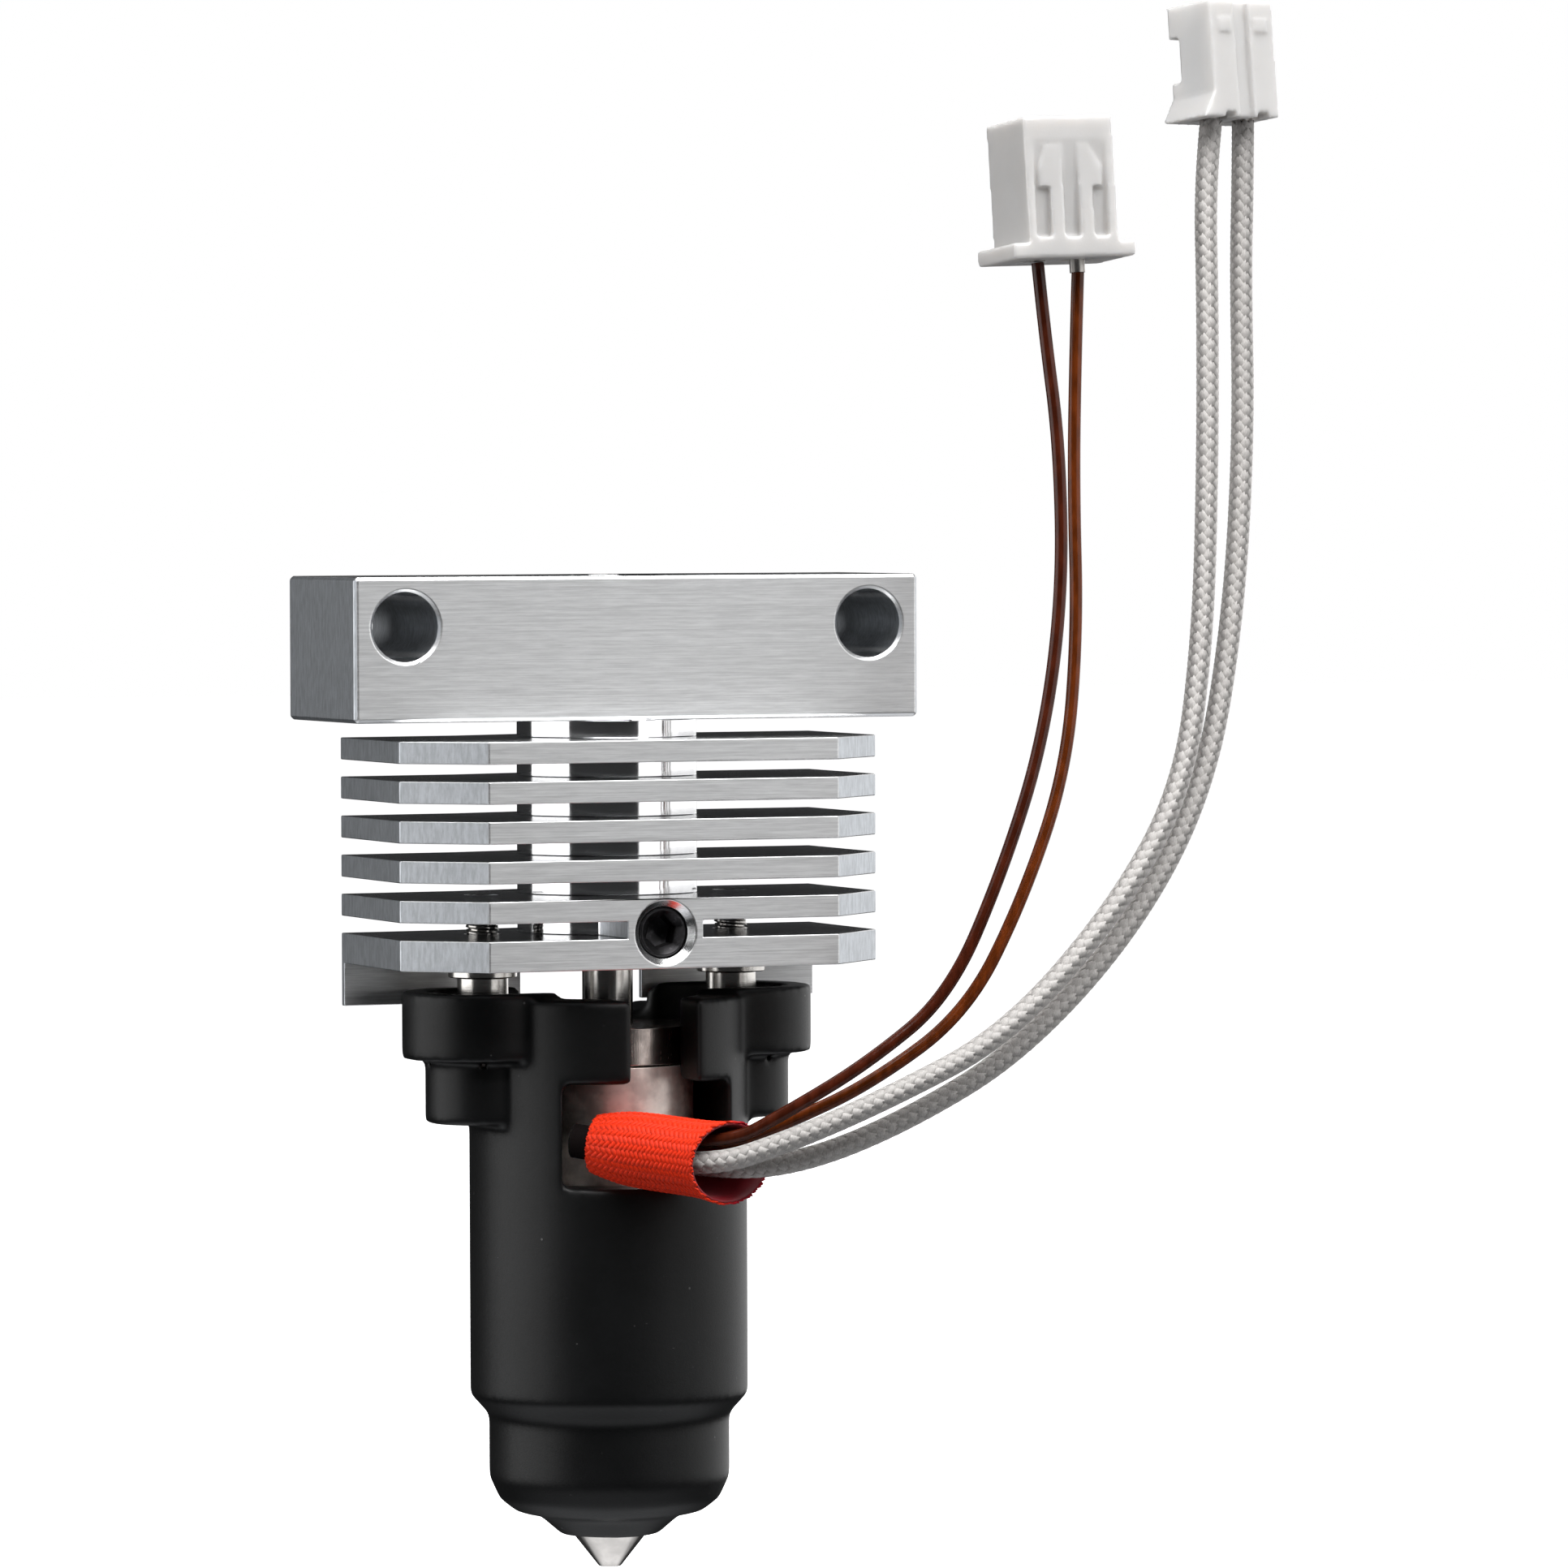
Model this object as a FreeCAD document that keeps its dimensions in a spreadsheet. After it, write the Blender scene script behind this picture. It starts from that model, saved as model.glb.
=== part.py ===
import FreeCAD, Part
import Sketcher
import math
import os
import re
from FreeCAD import Placement, Rotation, Vector

# Hotend assembly for a filament 3D printer.
# Frame: +Z up, +X to the side that the leads leave, -Y to the front with the grub screw.
# Origin: centre of the filament inlet, on the top face of the mounting block.

doc = FreeCAD.newDocument("Hotend")

# ---------------------------------------------------------------- dimensions

DIMENSIONS = {
    # mounting block on top of the heat sink
    "block_width": 35.3, "block_height": 8.45, "block_front": 5.5, "block_back": 6.1,
    "hole_spacing": 29.0, "hole_dia": 4.0, "hole_depth": 2.9, "edge_break": 0.2,
    # cooling fins and neck
    "neck_dia": 10.6, "fin_width": 29.85, "fin_front": 9.4, "fin_back": 4.8,
    "corner_x": 4.05, "corner_y": 4.0, "fin_thick": 1.3, "fin_pitch": 2.3,
    "fin_top": 9.5, "fin_count": 5, "base_top": 21.0, "base_bottom": 22.8,
    "web_width": 4.7, "tab_thick": 0.5, "tab_bottom": 25.3, "tab_gap": 7.7,
    # filament path
    "inlet_dia": 4.2, "inlet_depth": 6.0, "path_dia": 2.1, "socket_dia": 6.0, "socket_top": 8.6,
    # grub screw that clamps the heat break
    "grub_dia": 2.9, "grub_hole": 3.0, "grub_level": 20.7, "grub_face": 9.0, "grub_tip": 3.05,
    "grub_key": 1.5, "grub_sink": 0.43,
    # heat break
    "sleeve_dia": 5.92, "sleeve_top": 8.7, "sleeve_bottom": 22.6,
    "tube_dia": 3.0, "tube_bore": 2.0, "tube_top": 12.0, "tube_bottom": 43.9,
    "collar_dia": 4.9, "collar_top": 31.2,
    # clamp screws and their spacers
    "screw_offset": 7.85, "screw_dia": 2.0, "screw_tap": 2.1, "screw_clear": 2.2,
    "screw_tip": 18.75, "screw_head_dia": 3.8, "screw_head": 2.0, "screw_key": 1.5,
    "spacer_dia": 3.0, "flange_dia": 4.05, "flange_thick": 0.75,
    # heater
    "block_top": 26.5, "ear_thick": 2.2, "ear_width": 5.8, "head_dia": 10.1,
    "hub_dia": 7.2, "hub_bottom": 52.2, "thread_dia": 6.0, "thread_top": 44.0,
    "ceramic_in": 7.3, "ceramic_out": 8.8, "ceramic_top": 30.5, "ceramic_bottom": 50.5,
    "ceramic_slot": 1.2, "shell_in": 8.9, "shell_out": 10.1, "shell_top": 28.8,
    "shell_bottom": 52.3, "shell_slit": 0.6, "bead_dia": 0.7, "bead_long": 2.0,
    "bead_level": 47.0, "bead_radius": 4.02,
    # nozzle
    "nozzle_dia": 5.9, "nozzle_key": 7.0, "key_top": 52.4, "key_bottom": 54.6,
    "cone_dia": 6.0, "cone_top": 55.6, "tip_dia": 1.3, "tip_level": 58.6, "orifice": 0.4,
    # silicone sock
    "sock_dia": 16.4, "sock_top": 24.7, "sock_shoulder": 48.3, "sock_waist": 49.5,
    "waist_dia": 14.2, "waist_bottom": 53.2, "sock_heel": 55.2, "heel_dia": 11.2,
    "chin_level": 55.5, "chin_dia": 8.4, "mouth_level": 56.7, "mouth_dia": 5.64,
    "lobe_dia": 9.5, "lobe_top": 24.35, "lobe_bottom": 28.3, "foot_dia": 6.8, "foot_bottom": 32.1,
    "cavity_dia": 10.7, "cavity_bottom": 53.0, "key_room": 8.8, "room_bottom": 54.9,
    "cone_room": 6.7, "cone_level": 55.5, "lip_dia": 4.7, "head_room": 4.4, "head_pocket": 31.2,
    "ear_room": 6.4, "window_half": 5.2, "window_top": 29.6, "window_bottom": 35.65,
    "slot_left": 1.56, "slot_right": 2.7, "notch_half": 4.0, "notch_bottom": 26.0,
    "relief_deep": 0.65, "relief_bottom": 25.55,
    # woven sleeve around the leads, measured along its own axis
    "weave_thick": 0.35, "weave_long": 8.6, "weave_start": 1.75, "weave_mid": 2.25,
    "weave_end": 2.45, "plug_radius": 1.0, "plug_face": 1.62, "plug_long": 2.0, "plug_back": 1.4,
    "stub_radius": 0.55, "stub_reach": 2.6, "stub_back": 0.8,
    # leads
    "brown_dia": 0.75, "white_dia": 1.3,
    # two-way sensor connector
    "conn_width": 5.6, "conn_depth": 5.4, "conn_height": 8.2, "conn_flange": 7.7,
    "flange_high": 0.9, "lead_pitch": 2.5, "conn_cavity": 1.8, "panel_deep": 0.6,
    "panel_half": 2.3, "panel_low": 1.2, "panel_high": 6.9, "arrow_slot": 0.5,
    "arrow_stem": 1.35, "arrow_barb": 2.0, "barb_low": 4.1, "barb_high": 5.2, "arrow_top": 6.5,
    # two-way heater plug
    "plug_width": 4.85, "plug_depth": 3.85, "plug_height": 6.9, "plug_cavity": 1.7,
    "skirt_out": 0.9, "skirt_high": 1.5, "notch_low": 2.4, "notch_high": 5.0, "notch_deep": 0.85,
    "groove_wide": 1.1, "groove_deep": 0.35, "window_wide": 0.8, "window_high": 0.4,
    "boss_wide": 0.9, "boss_high": 0.8, "boss_out": 0.1, "boss_low": 5.0,
    # crimped contacts
    "contact_side": 1.3, "contact_long": 4.6, "contact_wall": 0.25, "crimp_dia": 1.1,
    "thin_crimp": 0.9, "crimp_out": 0.7,
}

sheet = doc.addObject("Spreadsheet::Sheet", "Dims")
for row, (alias, value) in enumerate(DIMENSIONS.items(), start=1):
    sheet.set(f"A{row}", alias)
    sheet.set(f"B{row}", str(value))
    sheet.setAlias(f"B{row}", alias)
doc.recompute()


def dim(alias):
    """The value of one cell of the sheet, in millimetres."""
    return float(sheet.get(alias))


def cells(expression):
    """An expression on the sheet, with each alias given its sheet's name."""
    return re.sub(r"[a-z_]+", lambda m: f"Dims.{m[0]}" if m[0] in DIMENSIONS else m[0], expression)


# ---------------------------------------------------------------- PartDesign helpers

def new_body(label):
    body = doc.addObject("PartDesign::Body", label)
    body.Label = label
    return body


def origin_feature(body, role):
    return next(f for f in body.Origin.OriginFeatures if f.Role == role)


def new_sketch(body, role, lift="0"):
    """A sketch on one of the body's own origin planes, lifted along the plane's normal."""
    sketch = body.newObject("Sketcher::SketchObject", "Sketch")
    sketch.AttachmentSupport = [(origin_feature(body, role), "")]
    sketch.MapMode = "FlatFace"
    sketch.setExpression("AttachmentOffset.Base.z", cells(lift))
    return sketch


def pin(sketch, geometry, point, across, along):
    """Two dimensions from the sketch's origin to one point, bound to the sheet."""
    for kind, expression in (("DistanceX", across), ("DistanceY", along)):
        index = sketch.addConstraint(Sketcher.Constraint(kind, -1, 1, geometry, point, 1.0))
        sketch.setExpression(f"Constraints[{index}]", cells(expression))


def evaluate(expression):
    """The number that an expression of cells and + - * / gives."""
    parser = doc.addObject("App::FeaturePython", "Reckoner")
    parser.addProperty("App::PropertyFloat", "Answer")
    parser.setExpression("Answer", cells(expression))
    parser.recompute()
    answer = parser.Answer
    doc.removeObject(parser.Name)
    return answer


def add_outline(sketch, corners):
    """A closed outline of straight lines; each corner is a pair of expressions."""
    points = [Vector(evaluate(x), evaluate(y), 0) for x, y in corners]
    first = len(sketch.Geometry)
    for i, start in enumerate(points):
        sketch.addGeometry(Part.LineSegment(start, points[(i + 1) % len(points)]), False)
    for i, (across, along) in enumerate(corners):
        after = first + (i + 1) % len(points)
        sketch.addConstraint(Sketcher.Constraint("Coincident", first + i, 2, after, 1))
        pin(sketch, first + i, 1, across, along)


def add_rectangle(sketch, left, right, low, high):
    add_outline(sketch, [(left, low), (right, low), (right, high), (left, high)])


def add_circle(sketch, across, along, radius):
    centre = Vector(evaluate(across), evaluate(along), 0)
    index = sketch.addGeometry(Part.Circle(centre, Vector(0, 0, 1), evaluate(radius)), False)
    pin(sketch, index, 3, across, along)
    size = sketch.addConstraint(Sketcher.Constraint("Radius", index, evaluate(radius)))
    sketch.setExpression(f"Constraints[{size}]", cells(radius))


def pad_down(body, sketch, length):
    pad = body.newObject("PartDesign::Pad", "Pad")
    pad.Profile = sketch
    pad.setExpression("Length", cells(length))
    pad.Reversed = True
    doc.recompute()
    return pad


def cut(body, sketch, length, reverse=False, both=False):
    """A pocket whose volume is compared, because one that points away cuts nothing."""
    before = body.Shape.Volume
    pocket = body.newObject("PartDesign::Pocket", "Pocket")
    pocket.Profile = sketch
    pocket.setExpression("Length", cells(length))
    pocket.Reversed = reverse
    pocket.Midplane = both
    doc.recompute()
    if body.Shape.Volume > before - 1e-4:
        raise RuntimeError(f"{body.Label}: {pocket.Name} removes nothing")
    return pocket


def turn(body, sketch, groove=False):
    """Turns a half profile about the sketch's upright axis."""
    before = body.Shape.Volume if groove else 0
    kind = "PartDesign::Groove" if groove else "PartDesign::Revolution"
    feature = body.newObject(kind, "Turning")
    feature.Profile = sketch
    feature.ReferenceAxis = (sketch, ["V_Axis"])
    feature.Angle = 360
    doc.recompute()
    if groove and body.Shape.Volume > before - 1e-4:
        raise RuntimeError(f"{body.Label}: {feature.Name} removes nothing")
    return feature


def chamfer(body, picks, size):
    """Breaks the edges of the body's last feature that picks() chooses."""
    base = body.Tip
    names = [f"Edge{i + 1}" for i, edge in enumerate(base.Shape.Edges) if picks(edge)]
    feature = body.newObject("PartDesign::Chamfer", "Chamfer")
    feature.Base = (base, names)
    feature.setExpression("Size", cells(size))
    doc.recompute()
    return feature


def turned_body(label, profile):
    """A body turned about Z from (radius, level) corners."""
    body = new_body(label)
    sketch = new_sketch(body, "XZ_Plane")
    add_outline(sketch, profile)
    turn(body, sketch)
    return body


# ---------------------------------------------------------------- Part helpers

def primitive(kind, name, sizes, base=("0", "0", "0"), rotation=Rotation()):
    """A Part primitive with its sizes and its place bound to the sheet."""
    solid = doc.addObject(kind, name)
    solid.Placement = Placement(Vector(0, 0, 0), rotation)
    for field, expression in sizes.items():
        solid.setExpression(field, cells(expression))
    for axis, expression in zip("xyz", base):
        solid.setExpression(f"Placement.Base.{axis}", cells(expression))
    return solid


def cylinder(name, radius, length, base=("0", "0", "0"), rotation=Rotation()):
    return primitive("Part::Cylinder", name, {"Radius": radius, "Height": length}, base, rotation)


def box(name, size, base):
    return primitive("Part::Box", name, dict(zip(("Length", "Width", "Height"), size)), base)


def hexagon(name, key, length, base, rotation=Rotation()):
    """A hexagonal prism of the given width across flats."""
    return primitive("Part::Prism", name,
                     {"Circumradius": f"{key} / sqrt(3)", "Height": length}, base, rotation)


def fuse(label, solids):
    joined = doc.addObject("Part::MultiFuse", label)
    joined.Label = label
    joined.Shapes = solids
    return joined


def take_away(label, base, tools):
    """Base less every tool."""
    result = base
    for i, tool in enumerate(tools, start=1):
        step = doc.addObject("Part::Cut", label if i == len(tools) else f"{label}_step{i}")
        step.Base, step.Tool = result, tool
        result = step
    result.Label = label
    return result


# ---------------------------------------------------------------- heat sink

FIN_OUTLINE = [
    ("-fin_width / 2", "fin_back"), ("-fin_width / 2", "corner_y - fin_front"),
    ("corner_x - fin_width / 2", "-fin_front"), ("fin_width / 2 - corner_x", "-fin_front"),
    ("fin_width / 2", "corner_y - fin_front"), ("fin_width / 2", "fin_back"),
]


def is_circle(edge, radius):
    curve = edge.Curve
    return isinstance(curve, Part.Circle) and abs(curve.Radius - radius) < 1e-3


def make_heat_sink():
    body = new_body("heat_sink")

    block = new_sketch(body, "XY_Plane")
    add_rectangle(block, "- block_width / 2", "block_width / 2", "- block_front", "block_back")
    pad_down(body, block, "block_height")
    chamfer(body, lambda edge: edge.Length > dim("block_height") - 0.1, "edge_break")

    neck = new_sketch(body, "XY_Plane", "- 1")
    add_circle(neck, "0", "0", "neck_dia / 2")
    pad_down(body, neck, "base_bottom - 1")

    fin = new_sketch(body, "XY_Plane", "- fin_top")
    add_outline(fin, FIN_OUTLINE)
    first_fin = pad_down(body, fin, "fin_thick")
    rows = body.newObject("PartDesign::LinearPattern", "Fins")
    rows.Originals = [first_fin]
    rows.Direction = (origin_feature(body, "Z_Axis"), [""])
    rows.Reversed = True
    rows.setExpression("Length", cells("fin_pitch * ( fin_count - 1 )"))
    rows.setExpression("Occurrences", cells("fin_count"))
    body.Tip = rows
    doc.recompute()

    base = new_sketch(body, "XY_Plane", "- base_top")
    add_outline(base, FIN_OUTLINE)
    pad_down(body, base, "base_bottom - base_top")

    web = new_sketch(body, "XY_Plane", "- base_top + fin_pitch - fin_thick + 0.2")
    add_rectangle(web, "- web_width / 2", "web_width / 2", "- fin_front", "- neck_dia / 2 + 1")
    pad_down(body, web, "fin_pitch - fin_thick + 0.4")

    tabs = new_sketch(body, "XY_Plane", "- base_top - 0.5")
    for side in ("-", ""):
        inner, outer = f"{side} tab_gap / 2", f"{side} fin_width / 2"
        add_rectangle(tabs, inner, outer, "fin_back - tab_thick", "fin_back")
    pad_down(body, tabs, "tab_bottom - base_top - 0.5")

    holes = new_sketch(body, "XZ_Plane")
    for side in ("-", ""):
        add_circle(holes, f"{side} hole_spacing / 2", "- hole_depth", "hole_dia / 2")
    cut(body, holes, "3 * block_back", both=True)
    chamfer(body, lambda edge: is_circle(edge, dim("hole_dia") / 2), "edge_break")

    path = new_sketch(body, "XZ_Plane")
    add_outline(path, [
        ("0", "0.5"), ("inlet_dia / 2", "0.5"), ("inlet_dia / 2", "- inlet_depth"),
        ("path_dia / 2", "- inlet_depth - 1"), ("path_dia / 2", "- socket_top"),
        ("socket_dia / 2", "- socket_top"), ("socket_dia / 2", "- base_bottom - 1"),
        ("0", "- base_bottom - 1")])
    turn(body, path, groove=True)

    grub = new_sketch(body, "XZ_Plane")
    add_circle(grub, "0", "- grub_level", "grub_hole / 2")
    cut(body, grub, "fin_front + 1", reverse=True)
    front = -dim("fin_front")
    chamfer(body, lambda edge: is_circle(edge, dim("grub_hole") / 2)
            and abs(edge.CenterOfMass.y - front) < 0.05, "grub_sink")

    taps = new_sketch(body, "XY_Plane", "- base_bottom - 1")
    for side in ("-", ""):
        add_circle(taps, f"{side} screw_offset", "0", "screw_tap / 2")
    cut(body, taps, "base_bottom + 1 - fin_top - 3.5 * fin_pitch", reverse=True)
    return body


# ---------------------------------------------------------------- screws, spacers, heat break

TO_FRONT = Rotation(Vector(1, 0, 0), 90)


def make_grub_screw():
    length = "grub_face - grub_tip"
    shank = cylinder("GrubShank", "grub_dia / 2", length, ("0", "- grub_tip", "- grub_level"), TO_FRONT)
    socket = hexagon("GrubSocket", "grub_key", "2",
                     ("0", "- grub_face + 1.6", "- grub_level"), TO_FRONT)
    return take_away("grub_screw", shank, [socket])


def make_clamp_screw(side, sign):
    label = f"clamp_screw_{side}"
    across = f"{sign} screw_offset"
    head_top = "- block_top - ear_thick - 0.02"
    shank = cylinder(f"{label}_shank", "screw_dia / 2", "block_top + ear_thick + 0.1 - screw_tip",
                     (across, "0", "- block_top - ear_thick - 0.1"))
    head = cylinder(f"{label}_head", "screw_head_dia / 2", "screw_head",
                    (across, "0", f"{head_top} - screw_head"))
    socket = hexagon(f"{label}_socket", "screw_key", "1.2",
                     (across, "0", f"{head_top} - screw_head - 0.1"))
    return take_away(label, fuse(f"{label}_blank", [shank, head]), [socket])


def make_spacer(side, sign):
    body = turned_body(f"spacer_{side}", [
        ("screw_clear / 2", "- base_bottom"), ("flange_dia / 2", "- base_bottom"),
        ("flange_dia / 2", "- base_bottom - flange_thick"),
        ("spacer_dia / 2", "- base_bottom - flange_thick"), ("spacer_dia / 2", "- block_top"),
        ("screw_clear / 2", "- block_top")])
    body.setExpression("Placement.Base.x", cells(f"{sign} screw_offset"))
    return body


def make_heat_break():
    turned_body("heat_break_sleeve", [
        ("tube_dia / 2 + 0.02", "- tube_top + 0.2"), ("path_dia / 2", "- tube_top + 0.2"),
        ("path_dia / 2", "- sleeve_top"), ("sleeve_dia / 2", "- sleeve_top"),
        ("sleeve_dia / 2", "- sleeve_bottom"), ("tube_dia / 2 + 0.02", "- sleeve_bottom")])
    turned_body("heat_break_tube", [
        ("tube_bore / 2", "- tube_top"), ("tube_dia / 2", "- tube_top"),
        ("tube_dia / 2", "- collar_top"), ("collar_dia / 2", "- collar_top"),
        ("collar_dia / 2", "- tube_bottom"), ("tube_bore / 2", "- tube_bottom")])


# ---------------------------------------------------------------- heater

def tube(name, inner, outer, top, bottom):
    """A plain ring about the filament axis."""
    base = ("0", "0", f"- {bottom}")
    outside = cylinder(f"{name}Outside", f"{outer} / 2", f"{bottom} - {top}", base)
    inside = cylinder(f"{name}Inside", f"{inner} / 2", f"{bottom} - {top}", base)
    return take_away(f"{name}Ring", outside, [inside])


def make_heater_block():
    body = new_body("heater_block")
    ears = new_sketch(body, "XY_Plane", "- block_top")
    add_rectangle(ears, "- screw_offset", "screw_offset", "- ear_width / 2", "ear_width / 2")
    pad_down(body, ears, "ear_thick")
    for across, radius in (("- screw_offset", "ear_width / 2"), ("screw_offset", "ear_width / 2"),
                           ("0", "head_dia / 2")):
        disc = new_sketch(body, "XY_Plane", "- block_top")
        add_circle(disc, across, "0", radius)
        pad_down(body, disc, "ear_thick")
    hub = new_sketch(body, "XY_Plane", "- block_top")
    add_circle(hub, "0", "0", "hub_dia / 2")
    pad_down(body, hub, "hub_bottom - block_top")

    bore = new_sketch(body, "XZ_Plane")
    add_outline(bore, [
        ("0", "- block_top + 1"), ("tube_dia / 2 + 0.1", "- block_top + 1"),
        ("tube_dia / 2 + 0.1", "- collar_top + 0.1"), ("collar_dia / 2 + 0.03", "- collar_top + 0.1"),
        ("collar_dia / 2 + 0.03", "- thread_top"), ("thread_dia / 2", "- thread_top"),
        ("thread_dia / 2", "- hub_bottom - 1"), ("0", "- hub_bottom - 1")])
    turn(body, bore, groove=True)
    screws = new_sketch(body, "XY_Plane", "- block_top + 1")
    for side in ("-", ""):
        add_circle(screws, f"{side} screw_offset", "0", "screw_clear / 2")
    cut(body, screws, "ear_thick + 2")
    return body


def make_heater():
    make_heater_block()
    ceramic = tube("Ceramic", "ceramic_in", "ceramic_out", "ceramic_top", "ceramic_bottom")
    slot = box("CeramicSlot", ("ceramic_slot", "ceramic_out", "ceramic_bottom"),
               ("- ceramic_slot / 2", "- ceramic_out", "- ceramic_bottom - 1"))
    take_away("ceramic_heater", ceramic, [slot])
    shell = tube("Shell", "shell_in", "shell_out", "shell_top", "shell_bottom")
    slit = box("ShellSlit", ("shell_slit", "shell_out", "shell_bottom"),
               ("- shell_slit / 2", "0", "- shell_bottom - 1"))
    take_away("heater_shell", shell, [slit])
    bead = turned_body("thermistor_bead", [
        ("0", "bead_long / 2"), ("bead_dia / 4", "bead_long / 2"),
        ("bead_dia / 2", "bead_long / 2 - bead_dia / 4"),
        ("bead_dia / 2", "bead_dia / 4 - bead_long / 2"),
        ("bead_dia / 4", "- bead_long / 2"), ("0", "- bead_long / 2")])
    bead.setExpression("Placement.Base.y", cells("- bead_radius"))
    bead.setExpression("Placement.Base.z", cells("- bead_level"))


def make_nozzle():
    turned = turned_body("NozzleTurned", [
        ("0", "- thread_top - 0.05"), ("nozzle_dia / 2 - 0.4", "- thread_top - 0.05"),
        ("nozzle_dia / 2", "- thread_top - 0.45"), ("nozzle_dia / 2", "- key_top + 0.7"),
        ("nozzle_dia / 2 - 0.45", "- key_top + 0.5"), ("nozzle_dia / 2 - 0.45", "- key_top - 0.5"),
        ("cone_dia / 2", "- key_bottom + 0.3"), ("cone_dia / 2", "- cone_top"),
        ("tip_dia / 2", "- tip_level"), ("0", "- tip_level")])
    key = hexagon("NozzleKey", "nozzle_key", "key_bottom - key_top", ("0", "0", "- key_bottom"))
    bore = cylinder("NozzleBore", "tube_bore / 2", "cone_top + 0.9 - thread_top + 1",
                    ("0", "0", "- cone_top - 0.9"))
    hole = cylinder("NozzleOrifice", "orifice / 2", "4", ("0", "0", "- tip_level - 0.5"))
    take_away("nozzle", fuse("NozzleBlank", [turned, key]), [bore, hole])


# ---------------------------------------------------------------- silicone sock

def make_silicone_sock():
    body = new_body("silicone_sock")
    outside = new_sketch(body, "XZ_Plane")
    add_outline(outside, [
        ("0", "- sock_top"), ("sock_dia / 2", "- sock_top"), ("sock_dia / 2", "- sock_shoulder"),
        ("waist_dia / 2", "- sock_waist"), ("waist_dia / 2", "- waist_bottom"),
        ("heel_dia / 2 + 0.9", "- waist_bottom - 1.3"), ("heel_dia / 2", "- sock_heel"),
        ("chin_dia / 2", "- chin_level"), ("mouth_dia / 2", "- mouth_level"), ("0", "- mouth_level")])
    turn(body, outside)
    for wide, top, low in (("lobe_dia", "lobe_top", "lobe_bottom"),
                           ("foot_dia", "sock_top", "foot_bottom")):
        lobes = new_sketch(body, "XY_Plane", "- sock_top")
        add_rectangle(lobes, "- screw_offset", "screw_offset", f"- {wide} / 2", f"{wide} / 2")
        pad_down(body, lobes, f"{low} - sock_top")
        for side in ("-", ""):
            ends = new_sketch(body, "XY_Plane", f"- {top}")
            add_circle(ends, f"{side} screw_offset", "0", f"{wide} / 2")
            pad_down(body, ends, f"{low} - {top}")

    cavity = new_sketch(body, "XZ_Plane")
    add_outline(cavity, [
        ("0", "- sock_top + 1"), ("cavity_dia / 2", "- sock_top + 1"),
        ("cavity_dia / 2", "- cavity_bottom"), ("key_room / 2", "- cavity_bottom - 0.5"),
        ("key_room / 2", "- room_bottom"), ("cone_room / 2", "- cone_level"),
        ("lip_dia / 2", "- mouth_level - 0.1"), ("0", "- mouth_level - 0.1")])
    turn(body, cavity, groove=True)

    ears = new_sketch(body, "XY_Plane", "- sock_top + 1")
    add_rectangle(ears, "- screw_offset", "screw_offset", "- ear_room / 2", "ear_room / 2")
    cut(body, ears, "block_top + ear_thick + 0.1 - sock_top + 1")
    for wide, low in (("ear_room", "block_top + ear_thick + 0.1"), ("head_room", "head_pocket")):
        for side in ("-", ""):
            room = new_sketch(body, "XY_Plane", "- sock_top + 1")
            add_circle(room, f"{side} screw_offset", "0", f"{wide} / 2")
            cut(body, room, f"{low} - sock_top + 1")

    front = new_sketch(body, "XZ_Plane")
    add_rectangle(front, "- window_half", "window_half", "- window_bottom", "- window_top")
    cut(body, front, "sock_dia", reverse=True)
    slot = new_sketch(body, "XZ_Plane")
    add_rectangle(slot, "- slot_left", "slot_right", "- window_top - 0.2", "- sock_top + 1")
    cut(body, slot, "sock_dia", reverse=True)
    rear = new_sketch(body, "XZ_Plane")
    add_rectangle(rear, "- notch_half", "notch_half", "- notch_bottom", "- sock_top + 1")
    cut(body, rear, "sock_dia")
    relief = new_sketch(body, "XY_Plane", "- sock_top + 1")
    add_rectangle(relief, "- fin_width / 2", "fin_width / 2", "fin_back - relief_deep", "sock_dia")
    cut(body, relief, "relief_bottom - sock_top + 1")
    return body


# ---------------------------------------------------------------- woven sleeve and leads

# Axis of the woven sleeve, from its pinched end at the heater to its open mouth.
SLEEVE_START = Vector(-3.34, -6.8, -33.03)
SLEEVE_WAY = Vector(0.731, -0.673, -0.111)
ALONG_SLEEVE = Placement(SLEEVE_START, Rotation(Vector(0, 0, 1), SLEEVE_WAY))


def make_sleeve():
    outer = [("weave_start", "0"), ("weave_mid", "weave_long / 4"),
             ("weave_mid", "0.8 * weave_long"), ("weave_end", "weave_long")]
    inner = [(f"{radius} - weave_thick", level) for radius, level in reversed(outer)]
    turned_body("wire_sleeve", outer + inner).Placement = ALONG_SLEEVE

    plug = turned_body("LeadPlug", [
        ("0", "- plug_back"), ("plug_radius", "- plug_back"), ("plug_radius", "0.3"),
        ("plug_face", "plug_long"), ("0", "plug_long")])
    plug.Placement = ALONG_SLEEVE
    foot = SLEEVE_START - SLEEVE_WAY * dim("stub_back")
    stub = cylinder("LeadStub", "stub_radius", "stub_reach", base=())
    stub.Placement = Placement(foot, Rotation(Vector(0, 0, 1), Vector(-foot.x, -foot.y, 0)))
    clear = cylinder("LeadClear", "shell_out / 2 + 0.03", "shell_bottom", ("0", "0", "- shell_bottom"))
    take_away("lead_potting", fuse("LeadBlank", [plug, stub]), [clear])


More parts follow.
